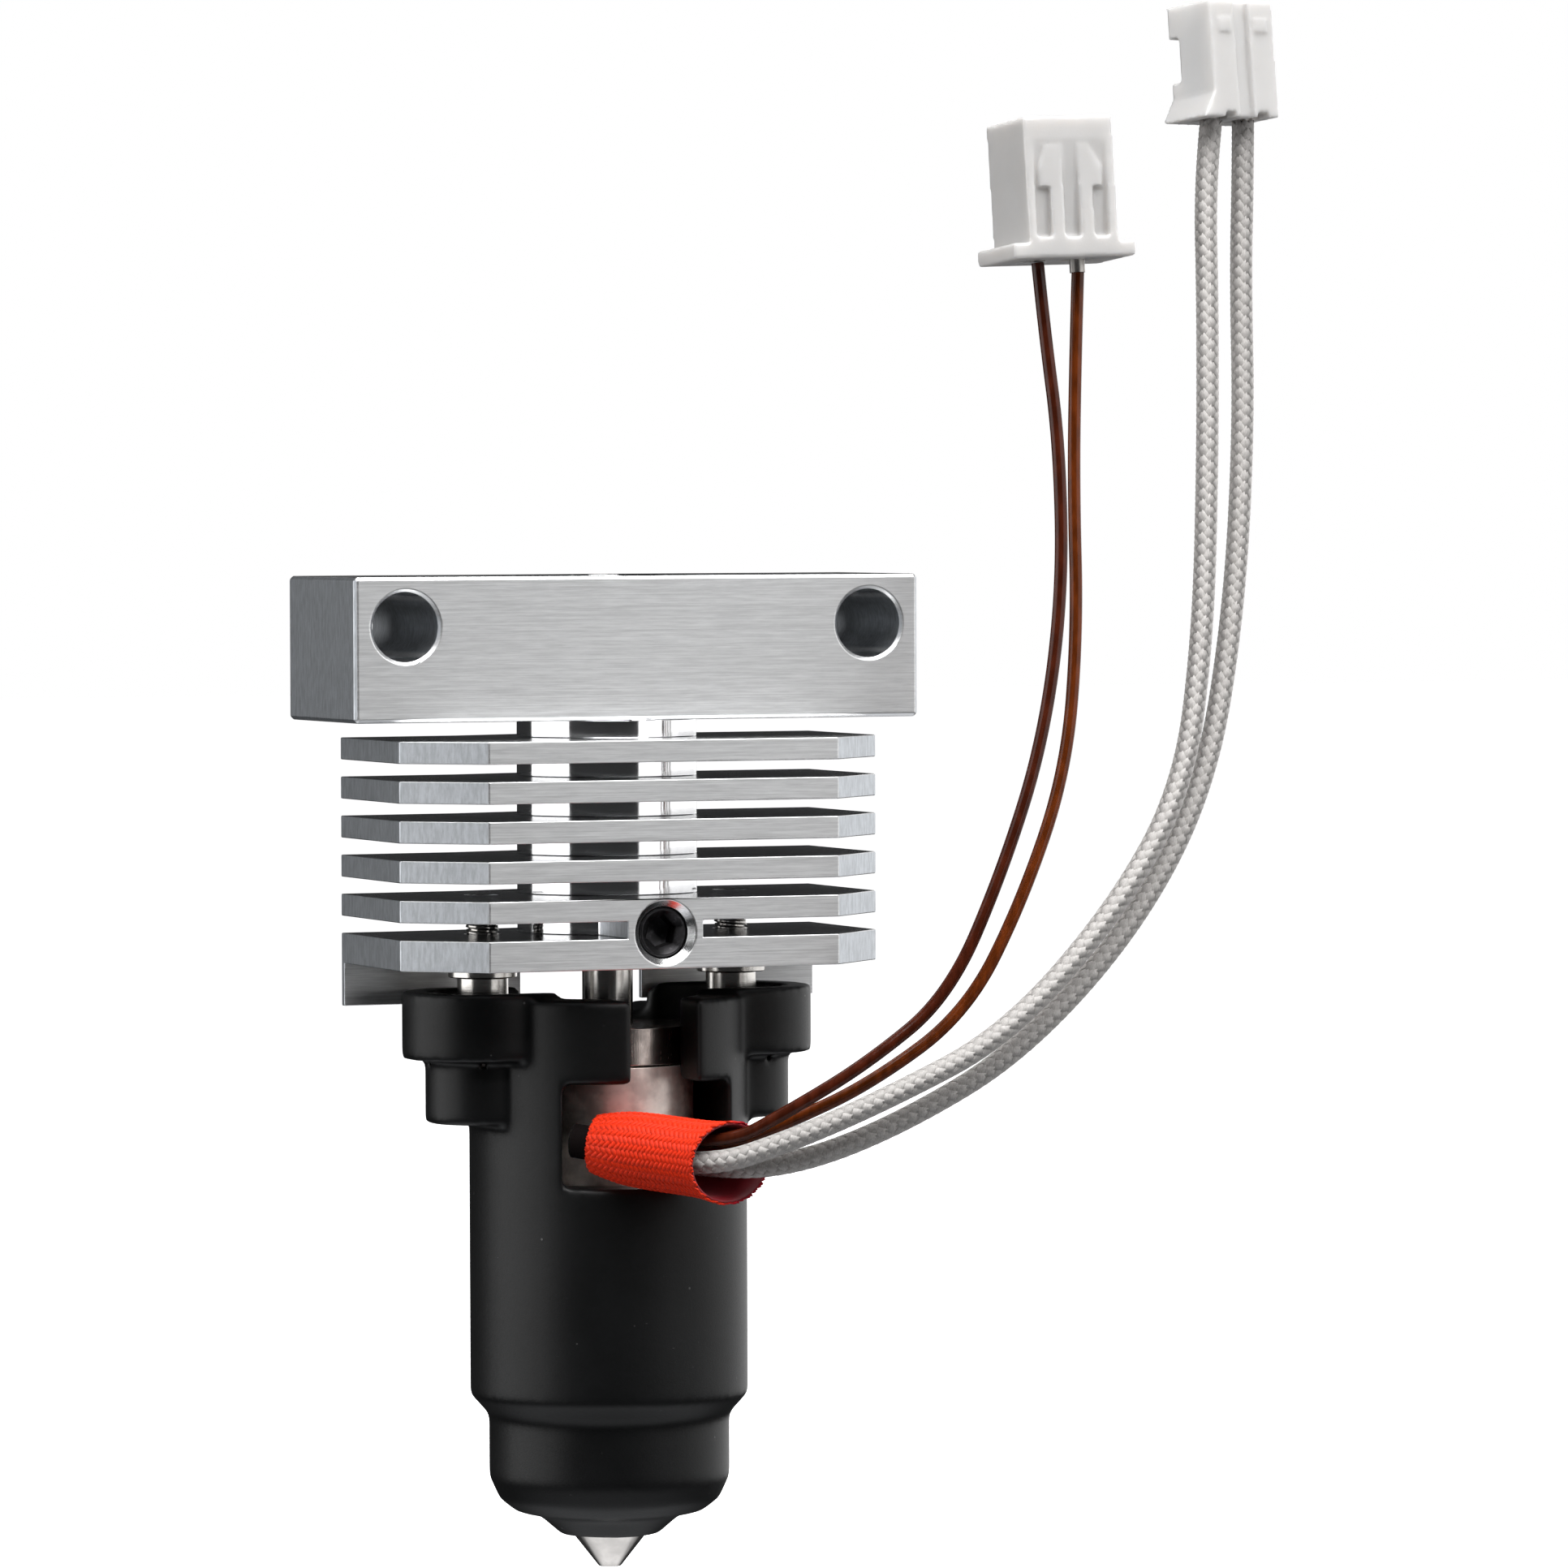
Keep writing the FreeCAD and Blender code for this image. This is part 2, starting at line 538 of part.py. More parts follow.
# Corner points of the leads' routes, from the potting plug to the connectors.
ROUTES = {
    "thermistor_wire_a": ("brown_dia", [
        (-2.1, -8.6, -32.5), (2.2, -12.3, -33.1), (5.6, -14.8, -30.8), (9.6, -16.7, -28.1),
        (14.3, -17.7, -24.3), (17.6, -18.0, -17.0), (20.2, -17.9, -9.6), (21.7, -17.3, -1.2),
        (21.9, -16.5, 7.4), (21.4, -15.5, 14.2), (21.206, -15.003, 18.073)]),
    "thermistor_wire_b": ("brown_dia", [
        (-1.4, -8.0, -32.5), (2.6, -11.4, -33.2), (6.0, -13.6, -31.6), (10.2, -15.6, -29.4),
        (15.8, -16.7, -25.4), (19.3, -16.9, -18.9), (22.2, -16.7, -11.4), (23.1, -16.3, -3.2),
        (23.1, -15.8, 5.0), (23.5, -15.2, 12.2), (23.748, -15.052, 17.551)]),
    "heater_wire_a": ("white_dia", [
        (-2.3, -8.7, -33.7), (1.3, -12.0, -34.3), (5.3, -15.2, -32.6), (10.3, -17.9, -30.1),
        (17.3, -19.1, -26.6), (24.3, -19.0, -19.5), (28.9, -18.4, -12.5), (30.5, -17.7, -3.8),
        (31.2, -16.9, 6.4), (31.6, -16.1, 16.0), (31.8, -15.3, 22.6), (32.35, -15.011, 26.44)]),
    "heater_wire_b": ("white_dia", [
        (-1.4, -7.7, -33.7), (2.4, -11.1, -34.4), (6.4, -14.1, -34.0), (11.8, -16.7, -31.6),
        (18.8, -17.8, -27.6), (26.2, -17.5, -20.4), (31.2, -16.6, -12.4), (33.5, -15.6, -2.4),
        (34.5, -14.9, 8.4), (34.5, -14.5, 17.4), (34.7, -14.4, 23.0), (34.753, -14.321, 26.44)]),
}


def make_lead(label, diameter, route):
    """A round lead along straight runs joined by tangent arcs."""
    points = [Vector(*p) for p in route]
    edges, radii, start = [], [], points[0]
    for before, corner, after in zip(points, points[1:], points[2:]):
        arrive, leave = corner - before, after - corner
        half_turn = arrive.getAngle(leave) / 2
        setback = 0.45 * min(arrive.Length, leave.Length)
        radii.append(setback / math.tan(half_turn))
        into, out_of = arrive.normalize(), leave.normalize()
        first, last = corner - into * setback, corner + out_of * setback
        inward = (out_of - into).normalize()
        centre = corner + inward * (radii[-1] / math.cos(half_turn))
        middle = centre - inward * radii[-1]
        edges.append(Part.LineSegment(start, first).toShape())
        edges.append(Part.Arc(first, middle, last).toShape())
        start = last
    edges.append(Part.LineSegment(start, points[-1]).toShape())
    spine = Part.Wire(edges)
    section = Part.Wire([Part.Circle(points[0], points[1] - points[0], diameter / 2).toShape()])
    shape = spine.makePipeShell([section], True, False)
    lead = doc.addObject("Part::Feature", label)
    lead.Shape = shape
    expected = math.pi * diameter ** 2 / 4 * spine.Length
    if abs(shape.Volume / expected - 1) > 0.01:
        raise RuntimeError(f"{label}: volume {shape.Volume:.2f}, section times length {expected:.2f}")
    print(f"{label}: {spine.Length:.1f} mm long, arc radii", [round(r, 1) for r in radii])
    return lead


# ---------------------------------------------------------------- connectors

def place_parts(parts, placement):
    for part in parts:
        part.Placement = placement


def make_contact(label, across, level, crimp, reach):
    """One crimped contact: a hollow box, and a barrel that reaches out below the housing."""
    room = "( contact_side - 2 * contact_wall )"
    outside = box(f"{label}_box", ("contact_side", "contact_side", "contact_long"),
                  (f"{across} - contact_side / 2", "- contact_side / 2", level))
    inside = box(f"{label}_room", (room, room, "contact_long"),
                 (f"{across} - {room} / 2", f"- {room} / 2", f"{level} + contact_wall"))
    barrel = cylinder(f"{label}_barrel", f"( {crimp} ) / 2", f"{level} + 0.1 + {reach}",
                      (across, "0", f"- {reach}"))
    return fuse(label, [take_away(f"{label}_shell", outside, [inside]), barrel])


def make_sensor_connector(placement):
    """Two-way housing with a foot flange and a split arrow latch on its front panel."""
    shell = box("ConnShell", ("conn_width", "conn_depth", "conn_height"),
                ("- conn_width / 2", "- conn_depth / 2", "0"))
    foot = box("ConnFoot", ("conn_flange", "conn_depth", "flange_high"),
               ("- conn_flange / 2", "- conn_depth / 2", "0"))
    cavities = [box(f"ConnCavity{i}", ("conn_cavity", "conn_cavity", "conn_height + 1"),
                    (f"{sign} lead_pitch / 2 - conn_cavity / 2", "- conn_cavity / 2", "- 0.5"))
                for i, sign in enumerate(("-", ""))]
    panel = new_body("ConnPanel")
    ramp = new_sketch(panel, "YZ_Plane", "panel_half")
    add_outline(ramp, [
        ("- conn_depth / 2 - 0.1", "panel_low"), ("- conn_depth / 2 + panel_deep", "panel_low"),
        ("- conn_depth / 2", "panel_high"), ("- conn_depth / 2 - 0.1", "panel_high")])
    pad_down(panel, ramp, "2 * panel_half")
    hollow = take_away("ConnHollow", fuse("ConnBlank", [shell, foot]), cavities + [panel])
    prongs = []
    for sign in ("-", ""):
        prong = new_body(f"ConnProng{len(prongs)}")
        sketch = new_sketch(prong, "XZ_Plane", "conn_depth / 2")
        add_outline(sketch, [(f"{sign} {across}", level) for across, level in (
            ("arrow_slot", "panel_low - 0.1"), ("arrow_stem", "panel_low - 0.1"),
            ("arrow_stem", "barb_low"), ("arrow_barb", "barb_low"), ("arrow_barb", "barb_high"),
            ("arrow_stem - 0.2", "arrow_top"), ("arrow_slot", "arrow_top"))])
        pad_down(prong, sketch, "panel_deep + 0.1")
        prongs.append(prong)
    housing = fuse("thermistor_connector", [hollow] + prongs)
    contacts = [make_contact("thermistor_contact_a", "- lead_pitch / 2", "1.6", "thin_crimp", "0"),
                make_contact("thermistor_contact_b", "lead_pitch / 2", "1.6", "thin_crimp", "crimp_out")]
    place_parts([housing] + contacts, placement)


def make_heater_plug(placement):
    """Two-way housing with a notched back, one flared skirt, a front groove and two bosses."""
    shell = box("PlugShell", ("plug_width", "plug_depth", "plug_height"),
                ("- plug_width / 2", "- plug_depth / 2", "0"))
    skirt = new_body("PlugSkirt")
    sketch = new_sketch(skirt, "XZ_Plane", "plug_depth / 2")
    add_outline(sketch, [
        ("- plug_width / 2 - skirt_out", "0"), ("plug_width / 2", "0"),
        ("plug_width / 2", "skirt_high"), ("- plug_width / 2", "skirt_high")])
    pad_down(skirt, sketch, "plug_depth")
    cavities = [box(f"PlugCavity{i}", ("plug_cavity", "plug_cavity", "plug_height + 1"),
                    (f"{sign} lead_pitch / 2 - plug_cavity / 2", "- plug_cavity / 2", "- 0.5"))
                for i, sign in enumerate(("-", ""))]
    notch = box("PlugNotch", ("plug_width + 4", "notch_deep", "notch_high - notch_low"),
                ("- plug_width / 2 - 2", "plug_depth / 2 - notch_deep", "notch_low"))
    groove = box("PlugGroove", ("groove_wide", "groove_deep", "plug_height + 1"),
                 ("- groove_wide / 2", "- plug_depth / 2", "- 0.5"))
    windows = [box(f"PlugWindow{i}", ("window_wide", "plug_depth / 2", "window_high"),
                   (f"{sign} lead_pitch / 2 - window_wide / 2", "- plug_depth / 2", "- 0.1"))
               for i, sign in enumerate(("-", ""))]
    bosses = [box(f"PlugBoss{i}", ("boss_wide", "plug_depth / 2 + boss_out - 1.1", "boss_high"),
                  (f"{sign} 1.4 - boss_wide / 2", "- plug_depth / 2 - boss_out", "boss_low"))
              for i, sign in enumerate(("-", ""))]
    housing = take_away("heater_plug", fuse("PlugBlank", [shell, skirt] + bosses),
                        cavities + windows + [notch, groove])
    contacts = [make_contact(f"heater_contact_{name}", f"{sign} lead_pitch / 2", "1.2", "crimp_dia", "0")
                for name, sign in (("a", "-"), ("b", ""))]
    place_parts([housing] + contacts, placement)


# ---------------------------------------------------------------- assembly

make_heat_sink()
make_grub_screw()
for side, sign in (("left", "-"), ("right", "")):
    make_clamp_screw(side, sign)
    make_spacer(side, sign)
make_heat_break()
make_heater()
make_nozzle()
make_silicone_sock()
make_sleeve()
for label, (thickness, route) in ROUTES.items():
    make_lead(label, dim(thickness), route)

make_sensor_connector(Placement(Vector(22.45, -15.0, 18.2), Rotation(0, -2, -4)))
make_heater_plug(Placement(Vector(33.55, -14.66, 26.5), Rotation(16, 0, -6)))
doc.recompute()

NODES = [
    "heat_sink", "grub_screw", "clamp_screw_left", "clamp_screw_right", "spacer_left",
    "spacer_right", "heat_break_sleeve", "heat_break_tube", "heater_block", "ceramic_heater",
    "heater_shell", "thermistor_bead", "nozzle", "silicone_sock", "lead_potting", "wire_sleeve",
    "thermistor_wire_a", "thermistor_wire_b", "heater_wire_a", "heater_wire_b",
    "thermistor_connector", "thermistor_contact_a", "thermistor_contact_b",
    "heater_plug", "heater_contact_a", "heater_contact_b",
]

for item in doc.Objects:
    if "Invalid" in item.State or "Error" in item.State:
        raise RuntimeError(f"{item.Name} failed: {item.State}")

os.makedirs("parts", exist_ok=True)
for node in NODES:
    shape = doc.getObjectsByLabel(node)[0].Shape
    if shape.isNull() or not shape.isValid() or len(shape.Solids) != 1:
        raise RuntimeError(f"{node} is not one valid solid: {len(shape.Solids)} solids")
    shape.exportStep(f"parts/{node}.step")
    print(f"{node}: {shape.Volume:.2f} mm3")
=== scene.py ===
import math

import bmesh
import bpy
from bpy.props import FloatProperty, FloatVectorProperty, IntProperty, PointerProperty
from mathutils import Matrix, Vector


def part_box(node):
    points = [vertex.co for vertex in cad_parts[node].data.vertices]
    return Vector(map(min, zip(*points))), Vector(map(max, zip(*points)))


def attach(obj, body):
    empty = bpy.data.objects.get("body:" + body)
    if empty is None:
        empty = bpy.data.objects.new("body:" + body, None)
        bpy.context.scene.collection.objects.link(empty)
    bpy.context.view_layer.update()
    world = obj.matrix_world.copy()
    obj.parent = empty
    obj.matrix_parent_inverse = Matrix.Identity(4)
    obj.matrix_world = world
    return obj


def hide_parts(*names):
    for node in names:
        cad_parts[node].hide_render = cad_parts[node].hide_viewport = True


bl_info = {
    "name": "Hotend assembly",
    "version": (1, 0, 0),
    "blender": (4, 5, 0),
    "location": "3D View > Sidebar > Hotend",
    "description": "Builds the finished pieces of a hotend round its packed CAD frame",
    "category": "Add Mesh",
}

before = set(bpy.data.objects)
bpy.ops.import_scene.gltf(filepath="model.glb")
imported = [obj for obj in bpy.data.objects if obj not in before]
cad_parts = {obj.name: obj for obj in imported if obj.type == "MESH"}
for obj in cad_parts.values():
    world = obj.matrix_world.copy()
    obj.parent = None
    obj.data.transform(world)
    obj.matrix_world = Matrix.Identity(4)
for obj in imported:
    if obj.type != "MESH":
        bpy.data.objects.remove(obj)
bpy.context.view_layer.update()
BODY = "hotend"
MM = 0.001

# Corner points of the leads, in metres, from the cement plug to the connectors.
ROUTES = {
    "thermistor_wire_a": [
        (-0.0021, -0.0086, -0.0325), (0.0022, -0.0123, -0.0331), (0.0056, -0.0148, -0.0308),
        (0.0096, -0.0167, -0.0281), (0.0143, -0.0177, -0.0243), (0.0176, -0.0180, -0.0170),
        (0.0202, -0.0179, -0.0096), (0.0217, -0.0173, -0.0012), (0.0219, -0.0165, 0.0074),
        (0.0214, -0.0155, 0.0142), (0.021206, -0.015003, 0.018073)],
    "thermistor_wire_b": [
        (-0.0014, -0.0080, -0.0325), (0.0026, -0.0114, -0.0332), (0.0060, -0.0136, -0.0316),
        (0.0102, -0.0156, -0.0294), (0.0158, -0.0167, -0.0254), (0.0193, -0.0169, -0.0189),
        (0.0222, -0.0167, -0.0114), (0.0231, -0.0163, -0.0032), (0.0231, -0.0158, 0.0050),
        (0.0235, -0.0152, 0.0122), (0.023748, -0.015052, 0.017551)],
    "heater_wire_a": [
        (-0.0023, -0.0087, -0.0337), (0.0013, -0.0120, -0.0343), (0.0053, -0.0152, -0.0326),
        (0.0103, -0.0179, -0.0301), (0.0173, -0.0191, -0.0266), (0.0243, -0.0190, -0.0195),
        (0.0289, -0.0184, -0.0125), (0.0305, -0.0177, -0.0038), (0.0312, -0.0169, 0.0064),
        (0.0316, -0.0161, 0.0160), (0.0318, -0.0153, 0.0226), (0.03235, -0.015011, 0.02644)],
    "heater_wire_b": [
        (-0.0014, -0.0077, -0.0337), (0.0024, -0.0111, -0.0344), (0.0064, -0.0141, -0.0340),
        (0.0118, -0.0167, -0.0316), (0.0188, -0.0178, -0.0276), (0.0262, -0.0175, -0.0204),
        (0.0312, -0.0166, -0.0124), (0.0335, -0.0156, -0.0024), (0.0345, -0.0149, 0.0084),
        (0.0345, -0.0145, 0.0174), (0.0347, -0.0144, 0.0230), (0.034753, -0.014321, 0.02644)],
}

# The woven sleeve's pinched end and direction, in metres.
SLEEVE_START = Vector((-0.00334, -0.0068, -0.03303))
SLEEVE_WAY = Vector((0.731, -0.673, -0.111)).normalized()
# Stations along the sleeve, in millimetres: (distance from the pinched end, radius).
SLEEVE_STATIONS = [
    (0.0, 1.66), (0.9, 1.9), (2.2, 2.12), (4.3, 2.17), (6.6, 2.16), (7.8, 2.24), (8.6, 2.4)]

# Where the heat sink's finish changes, in metres: each pair is where a change starts and ends.
GRUB_DEPTH = 0.0207
RIM_RADII = (0.0021, 0.0022)
NECK_RADII = (0.00536, 0.0055)
NECK_COLOUR = (0.86, 0.86, 0.87, 1)
FACING = (0.8, 0.95)

# Edges that turn more than this stay sharp and are the ones that are broken.
SHARP_ANGLE = math.radians(28)
FLAT_ANGLE = math.radians(0.4)
MERGE_DISTANCE = 1e-6
BEVEL_SEGMENTS = 2
LATHE_SIDES = 48
LINING_SIDES = 64

# Camera: a long lens, in millimetres, its place in metres and its turn in degrees.
LENS, SENSOR = 194.7, 36.0
CAMERA_PLACE = (-0.1808, -0.4661, 0.0042)
CAMERA_YAW, CAMERA_PITCH, CAMERA_ROLL = 22.4, 1.9, -0.2

# Soft lights: their name, the studio value that gives their power, their place and their size.
LIGHT_AIM = Vector((0.004, -0.002, -0.02))
LIGHTS = [
    ("TopLight", "top", (0.0, -0.22, 0.46), (0.62, 0.50)),
    ("LeftLight", "left", (-0.45, 0.09, 0.03), (0.56, 0.42)),
    ("RightLight", "right", (0.485, 0.12, 0.04), (1.05, 0.42)),
    ("FrontLight", "front", (0.37, -0.47, 0.10), (0.40, 0.36)),
]
FLOOR_HALF = 3.0


# ---------------------------------------------------------------- sizes and colours

def length(name, description, default):
    return FloatProperty(name=name, description=description, default=default, min=0.0,
                         subtype="DISTANCE", unit="LENGTH", precision=5)


def colour(name, description, default):
    return FloatVectorProperty(name=name, description=description, default=default, size=4,
                               min=0.0, max=1.0, subtype="COLOR")


class HotendSizes(bpy.types.PropertyGroup):
    """Sizes of the small details that the frame leaves plain."""
    edge_break: length("Edge break", "Width of the broken edges of machined metal", 0.00007)
    nylon_grid: length("Nylon grid", "Size of the grid that the housings are remade on", 0.0001)
    nylon_rounds: IntProperty(name="Nylon rounding", default=5, min=0, max=40,
                              description="Passes that round the housings' moulded edges")
    silicone_grid: length("Silicone grid", "Size of the grid that the sock is remade on", 0.00023)
    silicone_rounds: IntProperty(name="Silicone rounding", default=9, min=0, max=40,
                                 description="Passes that round the sock's moulded edges")
    thread_pitch: length("Thread pitch", "Pitch of the clamp screws' thread", 0.0004)
    thread_depth: length("Thread depth", "Height of the clamp screws' thread", 0.00023)
    thin_lead: length("Thin lead", "Diameter of the thermistor's leads", 0.00075)
    thick_lead: length("Thick lead", "Diameter of the heater's leads, over the braid", 0.0013)
    braid_pitch: length("Braid pitch", "Length of one turn of a lead's braid", 0.0052)
    braid_yarns: IntProperty(name="Braid yarns", default=8, min=3, max=24,
                             description="Yarns that turn each way round a lead")
    sleeve_pitch: length("Sleeve pitch", "Length of one turn of the sleeve's weave", 0.0125)
    sleeve_yarns: IntProperty(name="Sleeve yarns", default=34, min=8, max=60,
                              description="Yarns that turn each way round the sleeve")


class HotendColours(bpy.types.PropertyGroup):
    """Base colours of the finishes."""
    aluminium: colour("Aluminium", "Brushed faces of the heat sink", (0.78, 0.785, 0.79, 1))
    satin: colour("Satin sides", "Blasted sides of the heat sink", (0.52, 0.545, 0.575, 1))
    steel: colour("Steel", "Screws, spacers and the thin tube", (0.62, 0.60, 0.57, 1))
    black_oxide: colour("Black oxide", "The grub screw", (0.035, 0.034, 0.036, 1))
    nickel: colour("Nickel", "The heater's shell, warm from heat", (0.88, 0.76, 0.70, 1))
    copper: colour("Copper", "The hub and the heat break's sleeve", (0.78, 0.42, 0.27, 1))
    nozzle: colour("Nozzle", "The nozzle's plating", (0.80, 0.76, 0.72, 1))
    silicone: colour("Silicone", "The sock", (0.0032, 0.0034, 0.0037, 1))
    dust: colour("Dust", "Specks on the sock", (0.10, 0.10, 0.10, 1))
    sleeve: colour("Sleeve", "Yarns of the woven sleeve", (0.76, 0.034, 0.008, 1))
    # Painted shade: a darker crimson for the sleeve's open mouth, where shade falls.
    sleeve_mouth_shade: colour("Sleeve edge", "Cut ends of the woven sleeve", (0.42, 0.008, 0.022, 1))
    dark_brown: colour("Dark brown", "First thermistor lead", (0.060, 0.011, 0.004, 1))
    copper_brown: colour("Copper brown", "Second thermistor lead", (0.13, 0.026, 0.004, 1))
    braid: colour("Braid", "Yarns of the heater's leads", (0.49, 0.470, 0.453, 1))
    nylon: colour("Nylon", "Connector housings", (0.57, 0.56, 0.552, 1))
    tin: colour("Tin", "Contacts", (0.42, 0.40, 0.38, 1))
    ceramic: colour("Ceramic", "The heater's ring", (0.80, 0.79, 0.75, 1))
    # Painted shade: the cement is near black to stand in for the shade where the leads go in.
    cement: colour("Cement", "Where the leads go in", (0.004, 0.002, 0.002, 1))


class HotendStudio(bpy.types.PropertyGroup):
    """The floor and the soft lights."""
    floor_level: FloatProperty(name="Floor level", description="Height of the floor", default=-0.0785,
                               subtype="DISTANCE", unit="LENGTH")
    backdrop: FloatProperty(name="Backdrop", description="Brightness of the backdrop", default=1.0)
    surround: FloatProperty(name="Surround", description="Brightness of the dim studio", default=0.03)
    underneath: FloatProperty(name="Underneath", description="Brightness of the floor close below",
                              default=0.95)
    top: FloatProperty(name="Top light", description="Power of the top light", default=6.6,
                       subtype="POWER", unit="POWER")
    left: FloatProperty(name="Left light", description="Power of the left light", default=1.6,
                        subtype="POWER", unit="POWER")
    right: FloatProperty(name="Right light", description="Power of the right light", default=1.8,
                         subtype="POWER", unit="POWER")
    front: FloatProperty(name="Front light", description="Power of the front fill", default=0.7,
                         subtype="POWER", unit="POWER")


# ---------------------------------------------------------------- node writing

class Value:
    """What one socket gives; arithmetic on values adds Math nodes."""

    def __init__(self, graph, socket):
        self.graph, self.socket = graph, socket

    def math(self, operation, *others):
        return self.graph.math(operation, self, *others)

    def __add__(self, other):
        return self.math("ADD", other)

    def __radd__(self, other):
        return self.graph.math("ADD", other, self)

    def __sub__(self, other):
        return self.math("SUBTRACT", other)

    def __rsub__(self, other):
        return self.graph.math("SUBTRACT", other, self)

    def __mul__(self, other):
        return self.math("MULTIPLY", other)

    def __rmul__(self, other):
        return self.graph.math("MULTIPLY", other, self)

    def __truediv__(self, other):
        return self.math("DIVIDE", other)

    def __abs__(self):
        return self.math("ABSOLUTE")


class Graph:
    """Adds nodes to one shader or geometry tree."""

    def __init__(self, tree):
        self.tree = tree

    def plug(self, socket, value):
        if isinstance(value, Value):
            self.tree.links.new(value.socket, socket)
        else:
            socket.default_value = value

    def add(self, kind, sockets=None, out=0, **settings):
        """One node: its settings first, then the values or links of its sockets."""
        node = self.tree.nodes.new(kind)
        for name, value in settings.items():
            setattr(node, name, value)
        for key, value in (sockets or {}).items():
            self.plug(node.inputs[key], value)
        return Value(self, node.outputs[out])

    def math(self, operation, *values):
        return self.add("ShaderNodeMath", dict(enumerate(values)), operation=operation)

    def vector(self, operation, *values, scale=None):
        sockets = dict(enumerate(values))
        if scale is not None:
            sockets["Scale"] = scale
        return self.add("ShaderNodeVectorMath", sockets, operation=operation)

    def blend(self, factor, first, second):
        """Two colours mixed by a factor."""
        return self.add("ShaderNodeMix", {0: factor, 6: first, 7: second}, out=2, data_type="RGBA")

    def step(self, value, low, high):
        """0 below low, 1 above high, smooth between."""
        return self.add("ShaderNodeMapRange", {"Value": value, "From Min": low, "From Max": high},
                        interpolation_type="SMOOTHSTEP")

    def split(self, value):
        parts = self.add("ShaderNodeSeparateXYZ", {0: value})
        return [Value(self, output) for output in parts.socket.node.outputs]

    def place(self, scale=(1, 1, 1)):
        """Object coordinates, scaled."""
        coords = self.add("ShaderNodeTexCoord", out="Object")
        return self.add("ShaderNodeMapping", {"Vector": coords, "Scale": scale})

    def noise(self, scale, detail=2.0, rough=0.5):
        """Noise whose grain has its own frequency along each axis, per metre."""
        return self.add("ShaderNodeTexNoise", {"Vector": self.place(scale), "Scale": 1.0,
                                               "Detail": detail, "Roughness": rough})

    def bump(self, height, distance, strength):
        return self.add("ShaderNodeBump", {"Strength": strength, "Distance": distance,
                                           "Height": height})


def make_material(name, fixed, build=None):
    """A material on one Principled shader: fixed sockets, and what build(graph) varies."""
    material = bpy.data.materials.new(name)
    material.use_nodes = True
    shader = material.node_tree.nodes["Principled BSDF"]
    graph = Graph(material.node_tree)
    sockets = dict(fixed)
    if build:
        sockets.update(build(graph))
    for socket, value in sockets.items():
        graph.plug(shader.inputs[socket], value)
    return material


def shade_of(base, factor):
    """A colour made darker or lighter by a factor."""
    return (*(min(1.0, channel * factor) for channel in base[:3]), 1.0)


def even(size):
    """The same frequency along each axis."""
    return (size, size, size)


# ---------------------------------------------------------------- finishes

def aluminium(colours):
    """Brushed faces, blasted sides, a bright turned neck and a bright rim round the grub screw."""
    def build(g):
        x, y, z = g.split(g.place())
        nx, ny, nz = g.split(g.add("ShaderNodeTexCoord", out="Normal"))
        front = g.step(abs(ny), *FACING)
        from_grub = g.math("SQRT", x * x + (z + GRUB_DEPTH) * (z + GRUB_DEPTH))
        rim = (1 - g.step(from_grub, *RIM_RADII)) * (1 - front)
        side = g.step(abs(nx), 0.6, 0.72) * (1 - rim)
        flat = g.step(abs(nz), *FACING)
        neck = 1 - g.step(g.math("SQRT", x * x + y * y), *NECK_RADII)
        lines = g.noise((90, 9000, 15000), 4, 0.7)
        strokes = g.noise((420, 2000, 6400), 4, 0.68)
        blast = g.noise(even(6400), 3, 0.65)
        streaks = g.noise((5200, 5200, 1100), 4, 0.65)
        turned = g.noise((60, 60, 16000), 2)
        grain = lines * 0.5 + strokes * 0.5
        brushed = g.blend(g.step(grain, 0.34, 0.66), shade_of(colours.aluminium, 0.84),
                          shade_of(colours.aluminium, 1.12))
        blasted = g.blend(g.step(streaks, 0.25, 0.75), shade_of(colours.satin, 0.74),
                          shade_of(colours.satin, 1.08))
        base = g.blend(side, brushed, blasted)
        base = g.blend(neck, base, NECK_COLOUR)
        rough = (0.32 + grain * 0.22) * (1 - side) + side * (0.36 + blast * 0.14)
        rough = rough * (1 - flat) + flat * 0.2
        rough = rough * (1 - rim) + rim * 0.22
        height = front * grain + side * blast * 0.8 + (1 - front) * (1 - side) * lines * 0.6
        height = (height * (1 - neck) + neck * turned * 0.08) * (1 - flat * 0.6)
        return {"Base Color": base, "Roughness": rough * (1 - neck) + neck * 0.09,
                "Normal": g.bump(height, 0.000012, 0.55)}
    return make_material("aluminium_brushed", {"Metallic": 1.0}, build)


def turned_metal(name, base, roughness, depth=0.000004, stretch=(60, 60, 14000)):
    """Turned metal: fine rings round the filament axis and slight blotches."""
    def build(g):
        rings = g.noise(stretch, 3, 0.6)
        blotches = g.noise(even(900), 2)
        tint = g.blend(g.step(blotches, 0.3, 0.75), shade_of(base, 0.84), shade_of(base, 1.1))
        return {"Base Color": tint, "Roughness": roughness * 0.75 + rings * roughness * 0.6,
                "Normal": g.bump(rings, depth, 0.6)}
    return make_material(name, {"Metallic": 1.0}, build)


def black_oxide(base):
    """Black steel, a little paler where it is worn."""
    def build(g):
        wear = g.noise(even(3800), 3, 0.65)
        return {"Base Color": g.blend(g.step(wear, 0.5, 0.8), base, shade_of(base, 2.6)),
                "Roughness": 0.28 + wear * 0.22, "Normal": g.bump(wear, 0.00001, 0.4)}
    return make_material("black_oxide", {"Metallic": 0.9}, build)


